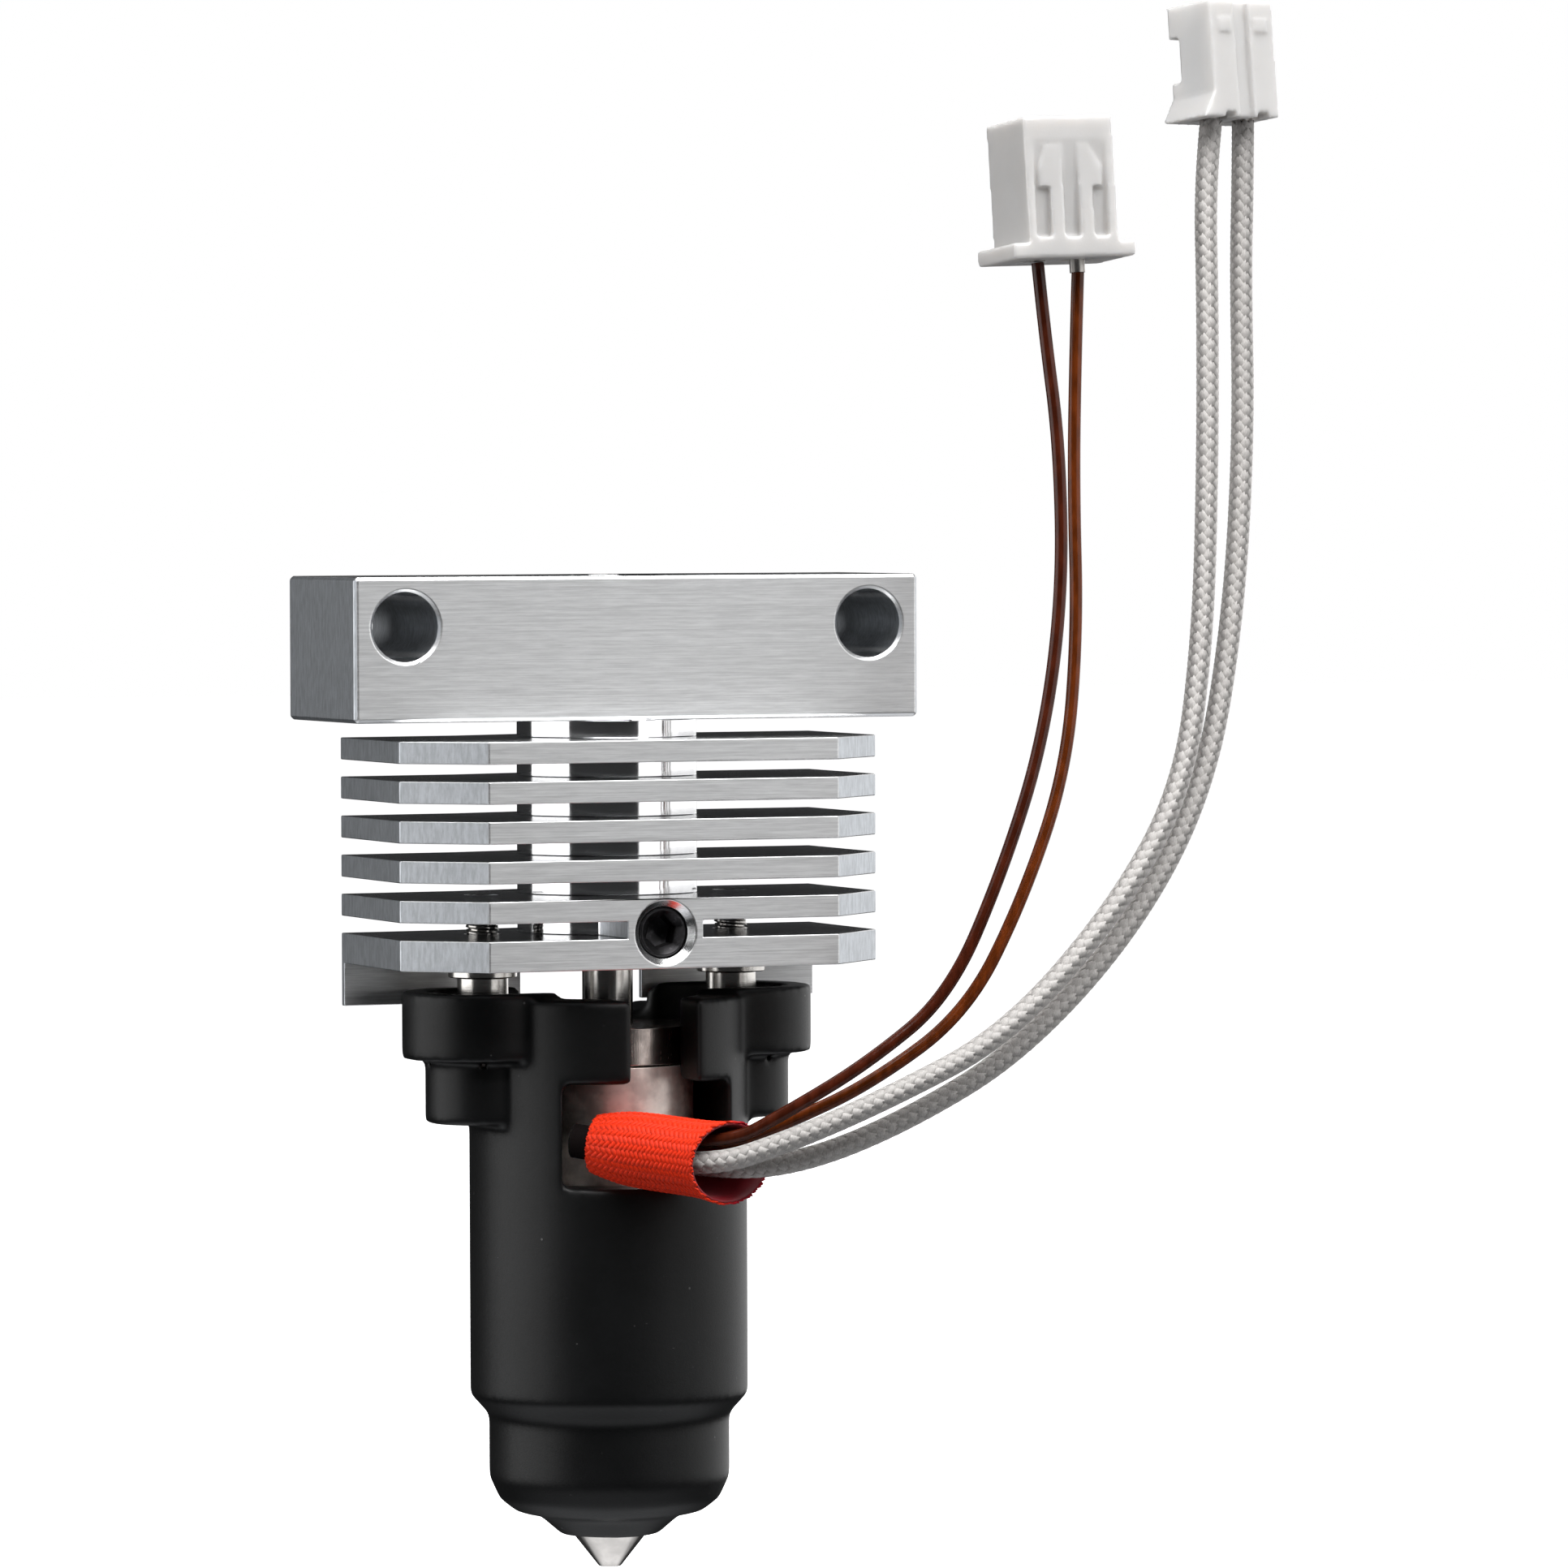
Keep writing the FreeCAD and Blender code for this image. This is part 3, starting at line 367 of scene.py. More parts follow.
def shell_nickel(name, base, roughness, metallic=1.0):
    """Nickel with an upright grain and cloudy heat tint."""
    def build(g):
        grain = g.noise((9000, 9000, 500), 3, 0.65)
        clouds = g.noise(even(900), 3)
        tint = g.blend(g.step(clouds, 0.3, 0.7), shade_of(base, 0.72), shade_of(base, 1.18))
        return {"Base Color": tint, "Roughness": roughness + grain * 0.2,
                "Normal": g.bump(grain, 0.00001, 0.5)}
    return make_material(name, {"Metallic": metallic}, build)


def silicone(base, dust):
    """Dull moulded silicone with specks of dust and lint in patches."""
    def build(g):
        skin = g.noise(even(9000), 4, 0.7)
        clouds = g.noise(even(260), 3, 0.6)
        cells = g.add("ShaderNodeTexVoronoi", {"Vector": g.place(even(760)), "Scale": 1.0},
                      out="Distance")
        lint = g.add("ShaderNodeTexVoronoi", {"Vector": g.place((420, 420, 2100)), "Scale": 1.0},
                     out="Distance")
        specks = 1 - g.step(cells, 0.035, 0.075)
        threads = 1 - g.step(lint, 0.02, 0.05)
        marks = (specks + threads * 0.5) * g.step(clouds, 0.46, 0.62)
        tint = g.blend(g.step(clouds, 0.3, 0.7), shade_of(base, 0.8), shade_of(base, 1.4))
        return {"Base Color": g.blend(marks, tint, dust), "Roughness": 0.36 + skin * 0.16,
                "Normal": g.bump(skin, 0.00002, 0.35)}
    return make_material("silicone_black", {"Specular IOR Level": 0.3}, build)


def nylon(base):
    """Natural nylon that lets light into its surface."""
    def build(g):
        flow = g.noise(even(420), 2)
        skin = g.noise(even(8000), 2)
        return {"Base Color": g.blend(flow, shade_of(base, 0.95), shade_of(base, 1.04)),
                "Roughness": 0.30 + skin * 0.16, "Normal": g.bump(skin, 0.000008, 0.4)}
    fixed = {"Subsurface Weight": 0.8, "Subsurface Radius": (1.0, 0.95, 0.9),
             "Subsurface Scale": 0.0016, "Coat Weight": 0.08}
    return make_material("nylon_natural", fixed, build)


def yarn(name, base, edge=None, mouth_shade_span=None, sheen=0.2, roughness=0.42, shine=0.4):
    """Spun yarn with fine fibres; an edge colour, painted shade at the sleeve's mouth, takes over along the
    given span of the sleeve's axis.
    """
    def build(g):
        fibres = g.noise((16000, 16000, 5200), 3, 0.7)
        clouds = g.noise(even(1300), 2)
        tint = g.blend(g.step(fibres, 0.28, 0.72), shade_of(base, 0.74), shade_of(base, 1.12))
        tint = g.blend(g.step(clouds, 0.35, 0.8) * 0.35, tint, shade_of(base, 0.8))
        # The edge colour is painted shade at the sleeve's mouth.
        if edge is not None:
            offset = g.vector("SUBTRACT", g.place(), tuple(SLEEVE_START))
            along = g.add("ShaderNodeVectorMath", {0: offset, 1: tuple(SLEEVE_WAY)}, out="Value",
                          operation="DOT_PRODUCT")
            tint = g.blend(g.step(along, *mouth_shade_span), tint, edge)
        return {"Base Color": tint, "Roughness": roughness - 0.08 + fibres * 0.16,
                "Normal": g.bump(fibres, 0.00002, 0.5)}
    return make_material(name, {"Sheen Weight": sheen, "Specular IOR Level": shine}, build)


def enamel(name, base):
    """Glossy insulation of uneven thickness."""
    def build(g):
        drops = g.noise((2400, 2400, 700), 2)
        tint = g.blend(g.step(drops, 0.3, 0.75), shade_of(base, 0.7), shade_of(base, 1.25))
        return {"Base Color": tint, "Roughness": 0.14 + drops * 0.12,
                "Normal": g.bump(drops, 0.00002, 0.25)}
    fixed = {"Coat Weight": 0.06, "Coat Roughness": 0.1, "Specular IOR Level": 0.22}
    return make_material(name, fixed, build)


def dull(name, base, roughness, shine=0.5):
    """A gritty dull surface."""
    def build(g):
        grit = g.noise(even(4200), 4, 0.65)
        return {"Base Color": g.blend(grit, shade_of(base, 0.75), shade_of(base, 1.2)),
                "Roughness": roughness - 0.08 + grit * 0.16, "Normal": g.bump(grit, 0.00002, 0.5)}
    return make_material(name, {"Specular IOR Level": shine}, build)


FINISHES = {
    "aluminium": aluminium,
    "steel": lambda c: turned_metal("steel_turned", c.steel, 0.2),
    "nozzle": lambda c: turned_metal("nozzle_plated", c.nozzle, 0.16),
    "copper": lambda c: turned_metal("copper_turned", c.copper, 0.3),
    "tin": lambda c: turned_metal("tin_plated", c.tin, 0.34, 0.000008, even(5200)),
    "black_oxide": lambda c: black_oxide(c.black_oxide),
    "nickel": lambda c: shell_nickel("shell_nickel", c.nickel, 0.26, 0.65),
    # The head's colour is the shell's nickel darkened: painted shade, where the head sits deep in the sock's
    # slot.
    "head": lambda c: shell_nickel("head_nickel", shade_of(c.nickel, 0.6), 0.14),
    "silicone": lambda c: silicone(c.silicone, c.dust),
    "nylon": lambda c: nylon(c.nylon),
    "braid": lambda c: yarn("braid_white", c.braid, sheen=0.08, roughness=0.55),
    # The sleeve turns to a darker crimson of painted shade at its mouth.
    "sleeve": lambda c: yarn("sleeve_woven", c.sleeve, c.sleeve_mouth_shade, (0.0079, 0.0088),
                             0.0, 0.46, 0.12),
    # The lining is the sleeve's colour darkened, darker still near the mouth: painted shade inside the
    # sleeve.
    "lining": lambda c: yarn("sleeve_lining", shade_of(c.sleeve, 0.6), shade_of(c.sleeve_mouth_shade, 0.5),
                             (0.0045, 0.0068), 0.1),
    "dark_brown": lambda c: enamel("enamel_dark_brown", c.dark_brown),
    "copper_brown": lambda c: enamel("enamel_copper_brown", c.copper_brown),
    "ceramic": lambda c: dull("ceramic_white", c.ceramic, 0.5),
    # Near-black cement: painted shade where the leads go into the sock.
    "cement": lambda c: dull("cement_dark", c.cement, 0.85, 0.1),
}


def finish(name):
    """The material of one finish, made when it is first asked for."""
    key = f"hotend_{name}"
    if key not in bpy.data.materials:
        FINISHES[name](bpy.context.scene.hotend_colours).name = key
    return bpy.data.materials[key]


# ---------------------------------------------------------------- pieces

def new_object(name, data):
    item = bpy.data.objects.new(name, data)
    bpy.context.scene.collection.objects.link(item)
    return item


def settled_mesh(item):
    """The mesh that an object's modifiers give."""
    bpy.context.view_layer.update()
    graph = bpy.context.evaluated_depsgraph_get()
    return bpy.data.meshes.new_from_object(item.evaluated_get(graph))


def settle(item):
    """The object as one plain mesh, with its modifiers applied and removed."""
    mesh = settled_mesh(item)
    item.modifiers.clear()
    item.data = mesh
    return item


def hand_over(piece, replaces=(), body=BODY):
    """Parents a piece to the body that it rides on and hides the nodes that it stands for."""
    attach(piece, body)
    if replaces:
        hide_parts(*replaces)
    return piece


def set_finish(item, name):
    item.data.materials.clear()
    item.data.materials.append(finish(name))


def shade_smooth(shape):
    """Smooth faces with sharp edges where the surface turns."""
    for face in shape.faces:
        face.smooth = True
    for edge in shape.edges:
        edge.smooth = edge.calc_face_angle(0.0) < SHARP_ANGLE


def bridge(shape, loops):
    """Faces between each closed loop of vertices and the next."""
    for lower, upper in zip(loops, loops[1:]):
        for i in range(len(lower)):
            j = (i + 1) % len(lower)
            shape.faces.new((lower[i], lower[j], upper[j], upper[i]))


def cad_copy(node, name):
    """A copy of a CAD node with its doubles merged and its flat faces joined."""
    mesh = bpy.data.meshes.new(name)
    shape = bmesh.new()
    shape.from_mesh(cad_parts[node].data)
    bmesh.ops.remove_doubles(shape, verts=shape.verts, dist=MERGE_DISTANCE)
    bmesh.ops.dissolve_limit(shape, angle_limit=FLAT_ANGLE, verts=shape.verts, edges=shape.edges)
    shade_smooth(shape)
    shape.to_mesh(mesh)
    shape.free()
    return new_object(name, mesh)


def with_edges(node, name, finish_name, width, body=BODY):
    """A piece with the node's shape and its edges broken or rounded."""
    piece = cad_copy(node, name)
    bevel = piece.modifiers.new("Edges", "BEVEL")
    bevel.limit_method, bevel.angle_limit = "ANGLE", SHARP_ANGLE
    bevel.width, bevel.segments = width, BEVEL_SEGMENTS
    bevel.use_clamp_overlap = False
    bevel.harden_normals = True
    settle(piece)
    set_finish(piece, finish_name)
    return hand_over(piece, [node], body)


def moulded(node, name, finish_name, grid_size, rounds):
    """A moulded piece: the node's shape remade on a fine grid, with its edges rounded."""
    piece = cad_copy(node, name)
    grid = piece.modifiers.new("Grid", "REMESH")
    grid.mode, grid.voxel_size, grid.use_smooth_shade = "VOXEL", grid_size, True
    rounding = piece.modifiers.new("Rounding", "SMOOTH")
    rounding.factor, rounding.iterations = 0.5, rounds
    settle(piece)
    set_finish(piece, finish_name)
    return hand_over(piece, [node])


def lathe(name, rings, place):
    """A turned piece about its own Z: each ring is (radius, level, "round" or "hex")."""
    shape = bmesh.new()
    loops = []
    for radius, level, kind in rings:
        loop = []
        for i in range(LATHE_SIDES):
            angle = 2 * math.pi * i / LATHE_SIDES
            reach = radius
            if kind == "hex":
                reach = radius / math.cos((angle % (math.pi / 3)) - math.pi / 6)
            loop.append(shape.verts.new((reach * math.cos(angle), reach * math.sin(angle), level)))
        loops.append(loop)
    bridge(shape, loops)
    shape.faces.new(loops[0][::-1])
    shape.faces.new(loops[-1])
    bmesh.ops.recalc_face_normals(shape, faces=shape.faces)
    shade_smooth(shape)
    mesh = bpy.data.meshes.new(name)
    shape.to_mesh(mesh)
    shape.free()
    mesh.transform(place)
    return new_object(name, mesh)


# ---------------------------------------------------------------- geometry trees

def geometry_tree(name, inputs):
    """An empty geometry tree with named inputs; gives the graph and a value for each input."""
    tree = bpy.data.node_groups.new(name, "GeometryNodeTree")
    tree.interface.new_socket("Geometry", in_out="INPUT", socket_type="NodeSocketGeometry")
    for label, kind in inputs:
        tree.interface.new_socket(label, in_out="INPUT", socket_type=f"NodeSocket{kind}")
    tree.interface.new_socket("Geometry", in_out="OUTPUT", socket_type="NodeSocketGeometry")
    source = tree.nodes.new("NodeGroupInput")
    graph = Graph(tree)
    return graph, {output.name: Value(graph, output) for output in source.outputs if output.name}


def close_tree(graph, geometry, material):
    """Ends a geometry tree with real geometry and its material."""
    real = graph.add("GeometryNodeRealizeInstances", {0: geometry})
    dressed = graph.add("GeometryNodeSetMaterial", {"Geometry": real, "Material": material})
    graph.tree.links.new(dressed.socket, graph.tree.nodes.new("NodeGroupOutput").inputs[0])
    return graph.tree


def join(graph, *parts):
    node = graph.tree.nodes.new("GeometryNodeJoinGeometry")
    for part in reversed(parts):
        graph.tree.links.new(part.socket, node.inputs[0])
    return Value(graph, node.outputs[0])


def grow(item, tree, values):
    """Adds a geometry tree to an object and sets the tree's inputs."""
    modifier = item.modifiers.new(tree.name, "NODES")
    modifier.node_group = tree
    for socket in tree.interface.items_tree:
        if socket.in_out == "INPUT" and socket.name in values:
            modifier[socket.identifier] = values[socket.name]


def thread_tree():
    """A helical ridge added round a plain shank."""
    g, inputs = geometry_tree("thread", [
        ("Radius", "Float"), ("Pitch", "Float"), ("Turns", "Float"), ("Depth", "Float"),
        ("Foot", "Vector"), ("Material", "Material")])
    spiral = g.add("GeometryNodeCurveSpiral", {
        "Resolution": 28, "Rotations": inputs["Turns"], "Start Radius": inputs["Radius"],
        "End Radius": inputs["Radius"], "Height": inputs["Turns"] * inputs["Pitch"]})
    section = g.add("GeometryNodeCurvePrimitiveCircle", {"Resolution": 4, "Radius": inputs["Depth"]})
    ridge = g.add("GeometryNodeCurveToMesh", {"Curve": spiral, "Profile Curve": section,
                                              "Fill Caps": True})
    placed = g.add("GeometryNodeTransform", {"Geometry": ridge, "Translation": inputs["Foot"]})
    return close_tree(g, join(g, inputs["Geometry"], placed), inputs["Material"])


def braid_tree(name, has_core):
    """Yarns that turn both ways round a curve, two over and two under, on an inner core if it has one.

    The curve's own radius scales the braid, so a tapered curve gives a tapered braid.
    """
    sockets = [
        ("Radius", "Float"), ("Pitch", "Float"), ("Yarns", "Int"), ("Wave", "Float"), ("Step", "Float"),
        ("Yarn Width", "Float"), ("Yarn Height", "Float"), ("Material", "Material")]
    if has_core:
        sockets.append(("Core", "Float"))
    g, inputs = geometry_tree(name, sockets)
    path = g.add("GeometryNodeResampleCurve", {"Curve": inputs["Geometry"], "Length": inputs["Step"]},
                 mode="LENGTH")
    scale = g.add("GeometryNodeInputRadius")
    tangent = g.add("GeometryNodeInputTangent")
    normal = g.add("GeometryNodeInputNormal")
    along = g.add("GeometryNodeSplineParameter", out="Length")
    crossings = 2 * inputs["Yarns"] * along / inputs["Pitch"]
    ellipse = g.add("GeometryNodeCurvePrimitiveCircle", {"Resolution": 6, "Radius": 0.5})
    ellipse = g.add("GeometryNodeTransform", {
        "Geometry": ellipse,
        "Scale": g.add("ShaderNodeCombineXYZ", {0: inputs["Yarn Height"], 1: inputs["Yarn Width"], 2: 1.0})})
    layers = []
    for way in (1, -1):
        copies = g.add("GeometryNodeDuplicateElements", {"Geometry": path, "Amount": inputs["Yarns"]},
                       domain="SPLINE")
        number = Value(g, copies.socket.node.outputs["Duplicate Index"])
        angle = 2 * math.pi * (way * along / inputs["Pitch"] + number / inputs["Yarns"])
        lift = (math.pi / 2 * (way * crossings + 2 * number) - math.pi / 4).math("COSINE")
        reach = inputs["Radius"] * scale + way * inputs["Wave"] * lift
        across = g.vector("CROSS_PRODUCT", tangent, normal)
        radial = g.vector("ADD", g.vector("SCALE", normal, scale=angle.math("COSINE")),
                          g.vector("SCALE", across, scale=angle.math("SINE")))
        store = g.add("GeometryNodeStoreNamedAttribute", {
            "Geometry": copies, "Name": "outward", "Value": radial},
            data_type="FLOAT_VECTOR", domain="POINT")
        moved = g.add("GeometryNodeSetPosition", {
            "Geometry": store, "Offset": g.vector("SCALE", radial, scale=reach)})
        outward = g.add("GeometryNodeInputNamedAttribute", {"Name": "outward"},
                        data_type="FLOAT_VECTOR")
        turned = g.add("GeometryNodeSetCurveNormal", {"Curve": moved, "Normal": outward}, mode="FREE")
        level = g.add("GeometryNodeSetCurveRadius", {"Curve": turned, "Radius": 1.0})
        layers.append(g.add("GeometryNodeCurveToMesh", {"Curve": level, "Profile Curve": ellipse,
                                                        "Fill Caps": True}))
    if has_core:
        ring = g.add("GeometryNodeCurvePrimitiveCircle", {"Resolution": 24, "Radius": inputs["Core"]})
        layers.append(g.add("GeometryNodeCurveToMesh", {"Curve": path, "Profile Curve": ring,
                                                        "Fill Caps": True}))
    return close_tree(g, join(g, *layers), inputs["Material"])


# ---------------------------------------------------------------- curves

def nurbs(name, points, radii=None):
    """One smooth open spline with those control points."""
    data = bpy.data.curves.new(name, "CURVE")
    data.dimensions = "3D"
    spline = data.splines.new("NURBS")
    spline.points.add(len(points) - 1)
    for i, point in enumerate(points):
        spline.points[i].co = (*point, 1.0)
        spline.points[i].radius = radii[i] if radii else 1.0
    spline.order_u = 3
    spline.use_endpoint_u = True
    spline.resolution_u = 12
    return new_object(name, data)


def centreline(route):
    """Points along the smooth line of a route."""
    guide = nurbs("Guide", route)
    mesh = settled_mesh(guide)
    points = [tuple(vertex.co) for vertex in mesh.vertices]
    bpy.data.objects.remove(guide)
    bpy.data.meshes.remove(mesh)
    return points


def run_length(points):
    return sum(math.dist(a, b) for a, b in zip(points, points[1:]))


def as_mesh(item, name):
    """A curve's evaluated mesh as an object of its own."""
    mesh = settled_mesh(item)
    bpy.data.objects.remove(item)
    for face in mesh.polygons:
        face.use_smooth = True
    return new_object(name, mesh)


# ---------------------------------------------------------------- operators

class BuildOperator:
    """What every build operator shares."""
    bl_options = {"REGISTER", "UNDO"}

    def execute(self, context):
        self.build(context.scene.hotend_sizes)
        return {"FINISHED"}


class HOTEND_OT_stage(bpy.types.Operator):
    """Build the floor, the soft lights and the camera"""
    bl_idname = "hotend.stage"
    bl_label = "Stage"
    bl_options = {"REGISTER", "UNDO"}

    def execute(self, context):
        studio = context.scene.hotend_studio
        self.camera(context.scene)
        self.world(context.scene, studio)
        self.floor(studio)
        self.lights(studio)
        context.scene.view_settings.view_transform = "Standard"
        return {"FINISHED"}

    def camera(self, scene):
        data = bpy.data.cameras.new("Camera")
        data.lens, data.sensor_width = LENS, SENSOR
        data.clip_start, data.clip_end = 0.02, 20.0
        camera = new_object("Camera", data)
        yaw, pitch, roll = map(math.radians, (CAMERA_YAW, CAMERA_PITCH, CAMERA_ROLL))
        away = Vector((math.sin(yaw) * math.cos(pitch), math.cos(yaw) * math.cos(pitch),
                       -math.sin(pitch)))
        right = Vector((math.cos(yaw), -math.sin(yaw), 0))
        up = right.cross(away)
        turn = Matrix((right, up, -away)).transposed() @ Matrix.Rotation(roll, 3, "Z")
        camera.matrix_world = Matrix.Translation(CAMERA_PLACE) @ turn.to_4x4()
        scene.camera = camera

    def world(self, scene, studio):
        """A pale backdrop for the camera and a dim studio in what the metal reflects."""
        world = bpy.data.worlds.new("Studio")
        world.use_nodes = True
        tree = world.node_tree
        tree.nodes.clear()
        g = Graph(tree)
        seen = g.add("ShaderNodeLightPath", out="Is Camera Ray")
        direction = g.add("ShaderNodeTexCoord", out="Generated")
        below = 1 - g.step(g.split(direction)[2], -0.9, -0.55)
        dim = g.add("ShaderNodeBackground", {"Color": (0.95, 0.97, 1.0, 1),
                                             "Strength": studio.surround + below * studio.underneath})
        pale = g.add("ShaderNodeBackground", {"Color": (1, 1, 1, 1), "Strength": studio.backdrop})
        mixed = g.add("ShaderNodeMixShader", {0: seen, 1: dim, 2: pale})
        tree.links.new(mixed.socket, tree.nodes.new("ShaderNodeOutputWorld").inputs[0])
        scene.world = world

    def floor(self, studio):
        """A pale floor, kept out of reflections and bounced light."""
        mesh = bpy.data.meshes.new("Floor")
        corners = [(-FLOOR_HALF, -FLOOR_HALF), (FLOOR_HALF, -FLOOR_HALF),
                   (FLOOR_HALF, FLOOR_HALF), (-FLOOR_HALF, FLOOR_HALF)]
        mesh.from_pydata([(x, y, studio.floor_level) for x, y in corners], [], [(0, 1, 2, 3)])
        mesh.materials.append(make_material("floor_pale", {
            "Base Color": (0.9, 0.9, 0.9, 1), "Roughness": 0.9, "Specular IOR Level": 0.1,
            "Emission Color": (1, 1, 1, 1), "Emission Strength": 1.0}))
        floor = new_object("Floor", mesh)
        floor.visible_glossy = floor.visible_diffuse = False

    def lights(self, studio):
        for name, power, place, (wide, high) in LIGHTS:
            data = bpy.data.lights.new(name, "AREA")
            data.shape, data.size, data.size_y = "RECTANGLE", wide, high
            data.energy = getattr(studio, power)
            light = new_object(name, data)
            aim = (LIGHT_AIM - Vector(place)).to_track_quat("-Z", "Y")
            light.matrix_world = Matrix.Translation(place) @ aim.to_matrix().to_4x4()


class HOTEND_OT_thermistor_leads(BuildOperator, bpy.types.Operator):
    """Build the two thin enamelled leads"""
    bl_idname = "hotend.thermistor_leads"
    bl_label = "Thermistor leads"

    def build(self, sizes):
        for letter, finish_name in (("a", "dark_brown"), ("b", "copper_brown")):
            node = f"thermistor_wire_{letter}"
            lead = nurbs(f"thermistor_lead_{letter}", ROUTES[node])
            lead.data.bevel_depth = sizes.thin_lead / 2
            lead.data.bevel_resolution = 6
            lead.data.use_fill_caps = True
            lead.data.materials.append(finish(finish_name))
            hand_over(lead, [node])
            run_length(centreline(ROUTES[node]))


class HOTEND_OT_heater_leads(BuildOperator, bpy.types.Operator):
    """Build the two braided leads"""
    bl_idname = "hotend.heater_leads"
    bl_label = "Heater leads"
    yarn_height, yarn_width, step = 0.13 * MM, 0.64 * MM, 0.125 * MM

    def build(self, sizes):
        tree = braid_tree("braid", has_core=True)
        radius = sizes.thick_lead / 2
        height = self.yarn_height
        for letter in "ab":
            node = f"heater_wire_{letter}"
            points = centreline(ROUTES[node])
            guide = nurbs("Guide", ROUTES[node])
            grow(guide, tree, {
                "Radius": radius - height * 0.85, "Pitch": sizes.braid_pitch,
                "Yarns": sizes.braid_yarns, "Wave": height * 0.4, "Step": self.step,
                "Yarn Width": self.yarn_width, "Yarn Height": height,
                "Core": radius - height * 0.62, "Material": finish("braid")})
            lead = as_mesh(guide, f"heater_lead_{letter}")
            hand_over(lead, [node])


class HOTEND_OT_sleeve(BuildOperator, bpy.types.Operator):
    """Build the woven sleeve and its lining"""
    bl_idname = "hotend.sleeve"
    bl_label = "Woven sleeve"
    yarn_height, yarn_width, step = 0.11 * MM, 0.33 * MM, 0.15 * MM
    # The mouth is cut at a slope, slant. The rest is in millimetres: what the cut takes off, the
    # length that it leaves alone, and the length over which it takes hold.
    slant, shorten = 0.62, 0.3
    firm_length, open_length = 2.0, 6.6
    # The lining's wall, and how far it lies inside the stations' radii, in millimetres.
    wall, lining_inset = 0.12, 0.06

    def build(self, sizes):
        points = [SLEEVE_START + SLEEVE_WAY * distance * MM for distance, _ in SLEEVE_STATIONS]
        radii = [radius for _, radius in SLEEVE_STATIONS]
        guide = nurbs("Guide", points, radii)
        height = self.yarn_height
        grow(guide, braid_tree("weave", has_core=False), {
            "Radius": MM, "Pitch": sizes.sleeve_pitch, "Yarns": sizes.sleeve_yarns,
            "Wave": height * 0.4, "Step": self.step, "Yarn Width": self.yarn_width,
            "Yarn Height": height, "Material": finish("sleeve")})
        weave = as_mesh(guide, "sleeve_weave")
        self.cut_mouth(weave.data)
        hand_over(weave, ["wire_sleeve"])
        self.lining()

    def cut_mouth(self, mesh):
        """Shears the open end: the side towards the front is short and the far side is long."""
        far = SLEEVE_WAY.cross(Vector((0, 0, 1))).normalized()
        if far.y < 0:
            far = -far
        for vertex in mesh.vertices:
            offset = vertex.co - SLEEVE_START
            along = offset.dot(SLEEVE_WAY)
            open_part = min(1.0, max(0.0, (along / MM - self.firm_length) / self.open_length))
            vertex.co += SLEEVE_WAY * (offset.dot(far) * self.slant - self.shorten * MM) * open_part

    def lining(self):
        """The thin tube that the yarns lie on, open at both ends."""
        shape = bmesh.new()
        turn = SLEEVE_WAY.to_track_quat("Z", "Y").to_matrix().to_4x4()
        place = Matrix.Translation(SLEEVE_START) @ turn
        angles = [2 * math.pi * i / LINING_SIDES for i in range(LINING_SIDES)]
        loops = []
        for distance, outer in SLEEVE_STATIONS:
            radius = outer - self.lining_inset
            loops.append([shape.verts.new(place @ Vector((
                radius * MM * math.cos(angle), radius * MM * math.sin(angle), distance * MM)))
                for angle in angles])
        bridge(shape, loops)
        bmesh.ops.recalc_face_normals(shape, faces=shape.faces)
        for face in shape.faces:
            face.smooth = True
        mesh = bpy.data.meshes.new("sleeve_lining")
        shape.to_mesh(mesh)
        shape.free()
        self.cut_mouth(mesh)
        lining = new_object("sleeve_lining", mesh)
        solid = lining.modifiers.new("Wall", "SOLIDIFY")
        solid.thickness, solid.offset = self.wall * MM, -1.0
        settle(lining)
        set_finish(lining, "lining")
        hand_over(lining)


class HOTEND_OT_heat_sink(BuildOperator, bpy.types.Operator):
    """Build the machined heat sink with its broken edges"""
    bl_idname = "hotend.heat_sink"
    bl_label = "Heat sink"

    def build(self, sizes):
        with_edges("heat_sink", "heat_sink_machined", "aluminium", sizes.edge_break)


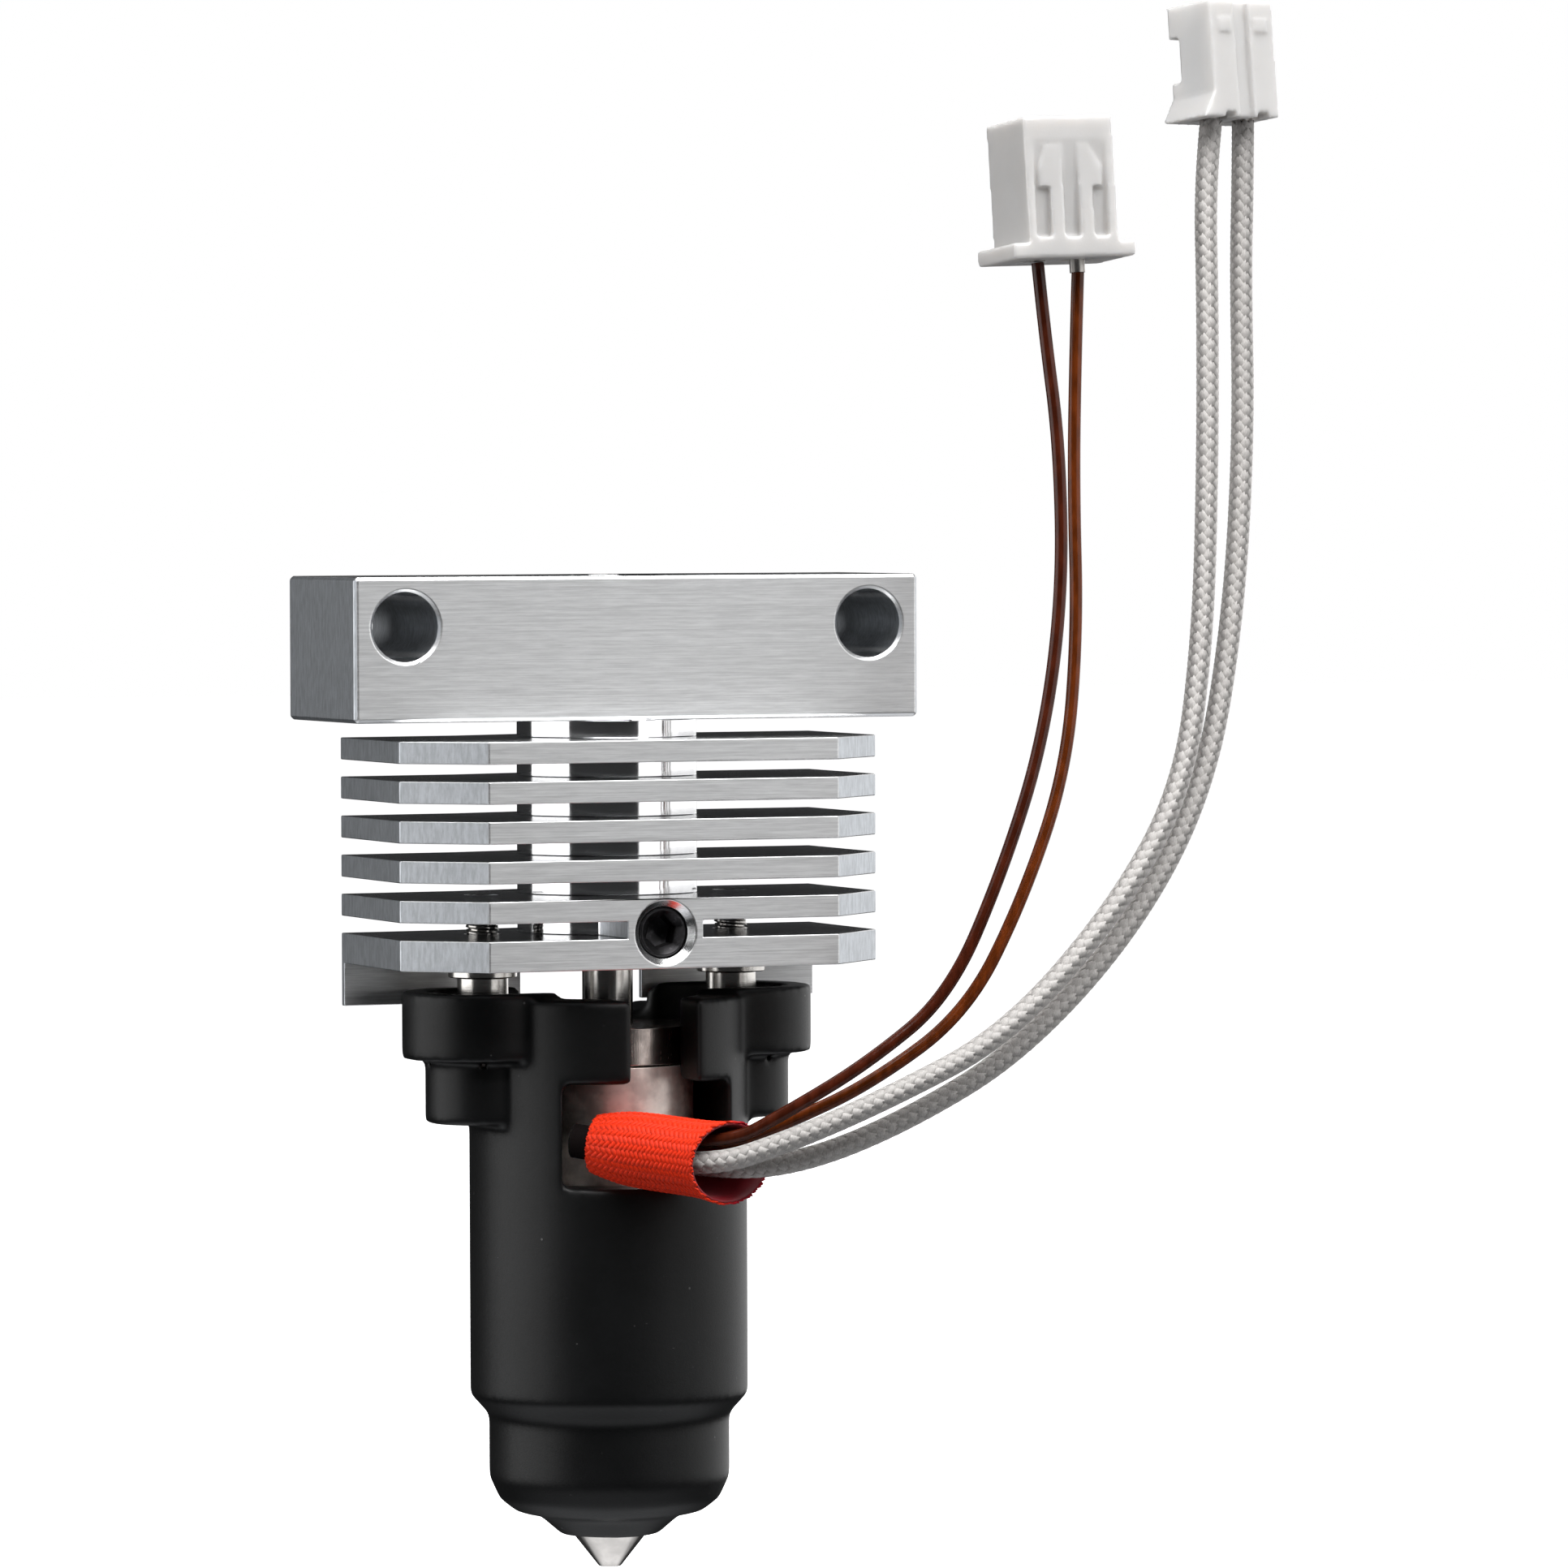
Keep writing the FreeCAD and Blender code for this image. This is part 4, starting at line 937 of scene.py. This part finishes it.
class HOTEND_OT_screws(BuildOperator, bpy.types.Operator):
    """Build the grub screw, the clamp screws and their spacers"""
    bl_idname = "hotend.screws"
    bl_label = "Screws and spacers"
    # The keys are half their width across flats; the grub screw's is turned by key_turn degrees.
    key_turn = 18
    grub_key, clamp_key = 0.84 * MM, 0.75 * MM
    thread_core, head_height, end_taper = 0.78 * MM, 2.0 * MM, 0.3 * MM

    def build(self, sizes):
        self.grub_screw()
        tree = thread_tree()
        for side in ("left", "right"):
            self.clamp_screw(side, tree, sizes)
            with_edges(f"spacer_{side}", f"spacer_{side}_turned", "steel", sizes.edge_break)

    def grub_screw(self):
        low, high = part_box("grub_screw")
        radius = (high.x - low.x) / 2
        key = self.grub_key
        axis_x, axis_z = (low.x + high.x) / 2, (low.z + high.z) / 2
        turn = Matrix.Rotation(math.radians(90), 4, "X")
        key_turn = Matrix.Rotation(math.radians(self.key_turn), 4, "Z")
        place = Matrix.Translation((axis_x, high.y, axis_z)) @ turn @ key_turn
        deep = high.y - low.y
        rings = [
            (radius - 0.3 * MM, 0, "round"), (radius, 0.3 * MM, "round"),
            (radius, deep - 0.1 * MM, "round"), (radius - 0.1 * MM, deep, "round"),
            (radius - 0.16 * MM, deep, "round"),
            (key * 1.06, deep - 0.36 * MM, "hex"), (key, deep - 0.44 * MM, "hex"),
            (key, deep - 1.5 * MM, "hex"), (key * 0.2, deep - 1.75 * MM, "hex"),
        ]
        screw = lathe("grub_screw_socket", rings, place)
        set_finish(screw, "black_oxide")
        hand_over(screw, ["grub_screw"], "grub_screw")

    def clamp_screw(self, side, tree, sizes):
        node = f"clamp_screw_{side}"
        low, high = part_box(node)
        core, head, key = self.thread_core, (high.x - low.x) / 2, self.clamp_key
        axis_x, axis_y = (low.x + high.x) / 2, (low.y + high.y) / 2
        deep, tall = high.z - low.z, self.head_height
        place = Matrix.Translation((axis_x, axis_y, low.z))
        rings = [
            (key * 0.3, 1.1 * MM, "hex"), (key, 1.0 * MM, "hex"), (key, 0.1 * MM, "hex"),
            (key * 1.2, 0, "round"), (head - 0.25 * MM, 0, "round"), (head, 0.25 * MM, "round"),
            (head, tall - 0.06 * MM, "round"), (head - 0.06 * MM, tall, "round"),
            (core, tall, "round"), (core, deep - self.end_taper, "round"), (core * 0.65, deep, "round"),
        ]
        screw = lathe(f"{node}_threaded", rings, place)
        threaded = deep - tall - self.end_taper
        grow(screw, tree, {
            "Radius": core, "Pitch": sizes.thread_pitch, "Turns": threaded / sizes.thread_pitch,
            "Depth": sizes.thread_depth, "Foot": (axis_x, axis_y, low.z + tall),
            "Material": finish("steel")})
        settle(screw)
        hand_over(screw, [node], node)


class HOTEND_OT_heater(BuildOperator, bpy.types.Operator):
    """Build the heater, the heat break and the nozzle"""
    bl_idname = "hotend.heater"
    bl_label = "Heater and nozzle"

    def build(self, sizes):
        # The heater block takes the darkened nickel, painted shade for its place in the sock's slot.
        for node, finish_name, slot in (
                ("heater_shell", "nickel", "nickel"), ("heat_break_tube", "steel", "steel"),
                ("heater_block", "head", "nickel")):
            with_edges(node, f"{node}_finished", finish_name, sizes.edge_break)
        with_edges("nozzle", "nozzle_turned", "nozzle", sizes.edge_break, body="nozzle")
        # The lead potting's near-black cement is painted shade.
        for node, finish_name in (("heat_break_sleeve", "copper"), ("ceramic_heater", "ceramic"),
                                  ("thermistor_bead", "ceramic"), ("lead_potting", "cement")):
            set_finish(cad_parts[node], finish_name)


class HOTEND_OT_sock(BuildOperator, bpy.types.Operator):
    """Build the moulded silicone sock"""
    bl_idname = "hotend.sock"
    bl_label = "Silicone sock"

    def build(self, sizes):
        moulded("silicone_sock", "sock_moulded", "silicone", sizes.silicone_grid,
                sizes.silicone_rounds)


class HOTEND_OT_connectors(BuildOperator, bpy.types.Operator):
    """Build the two nylon housings and their contacts"""
    bl_idname = "hotend.connectors"
    bl_label = "Connectors"

    def build(self, sizes):
        for node, name in (("thermistor_connector", "thermistor_housing"),
                           ("heater_plug", "heater_housing")):
            moulded(node, name, "nylon", sizes.nylon_grid, sizes.nylon_rounds)
        for group in ("thermistor", "heater"):
            for letter in "ab":
                set_finish(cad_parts[f"{group}_contact_{letter}"], "tin")


OPERATORS = [HOTEND_OT_stage, HOTEND_OT_connectors, HOTEND_OT_thermistor_leads, HOTEND_OT_heater_leads,
             HOTEND_OT_sleeve, HOTEND_OT_heat_sink, HOTEND_OT_screws, HOTEND_OT_heater, HOTEND_OT_sock]


class HOTEND_PT_build(bpy.types.Panel):
    """Lists the build steps, the sizes and the colours"""
    bl_label = "Hotend"
    bl_idname = "HOTEND_PT_build"
    bl_space_type = "VIEW_3D"
    bl_region_type = "UI"
    bl_category = "Hotend"

    def draw(self, context):
        for operator in OPERATORS:
            self.layout.operator(operator.bl_idname)
        scene = context.scene
        for group in (scene.hotend_sizes, scene.hotend_colours, scene.hotend_studio):
            box = self.layout.box()
            for name in group.__annotations__:
                box.prop(group, name)


CLASSES = [HotendSizes, HotendColours, HotendStudio, *OPERATORS, HOTEND_PT_build]


def register():
    for item in CLASSES:
        bpy.utils.register_class(item)
    bpy.types.Scene.hotend_sizes = PointerProperty(type=HotendSizes)
    bpy.types.Scene.hotend_colours = PointerProperty(type=HotendColours)
    bpy.types.Scene.hotend_studio = PointerProperty(type=HotendStudio)


def unregister():
    del bpy.types.Scene.hotend_studio
    del bpy.types.Scene.hotend_colours
    del bpy.types.Scene.hotend_sizes
    for item in reversed(CLASSES):
        bpy.utils.unregister_class(item)


def main():
    register()
    for operator in OPERATORS:
        group, name = operator.bl_idname.split(".")
        getattr(getattr(bpy.ops, group), name)()


if __name__ == "__main__":
    main()
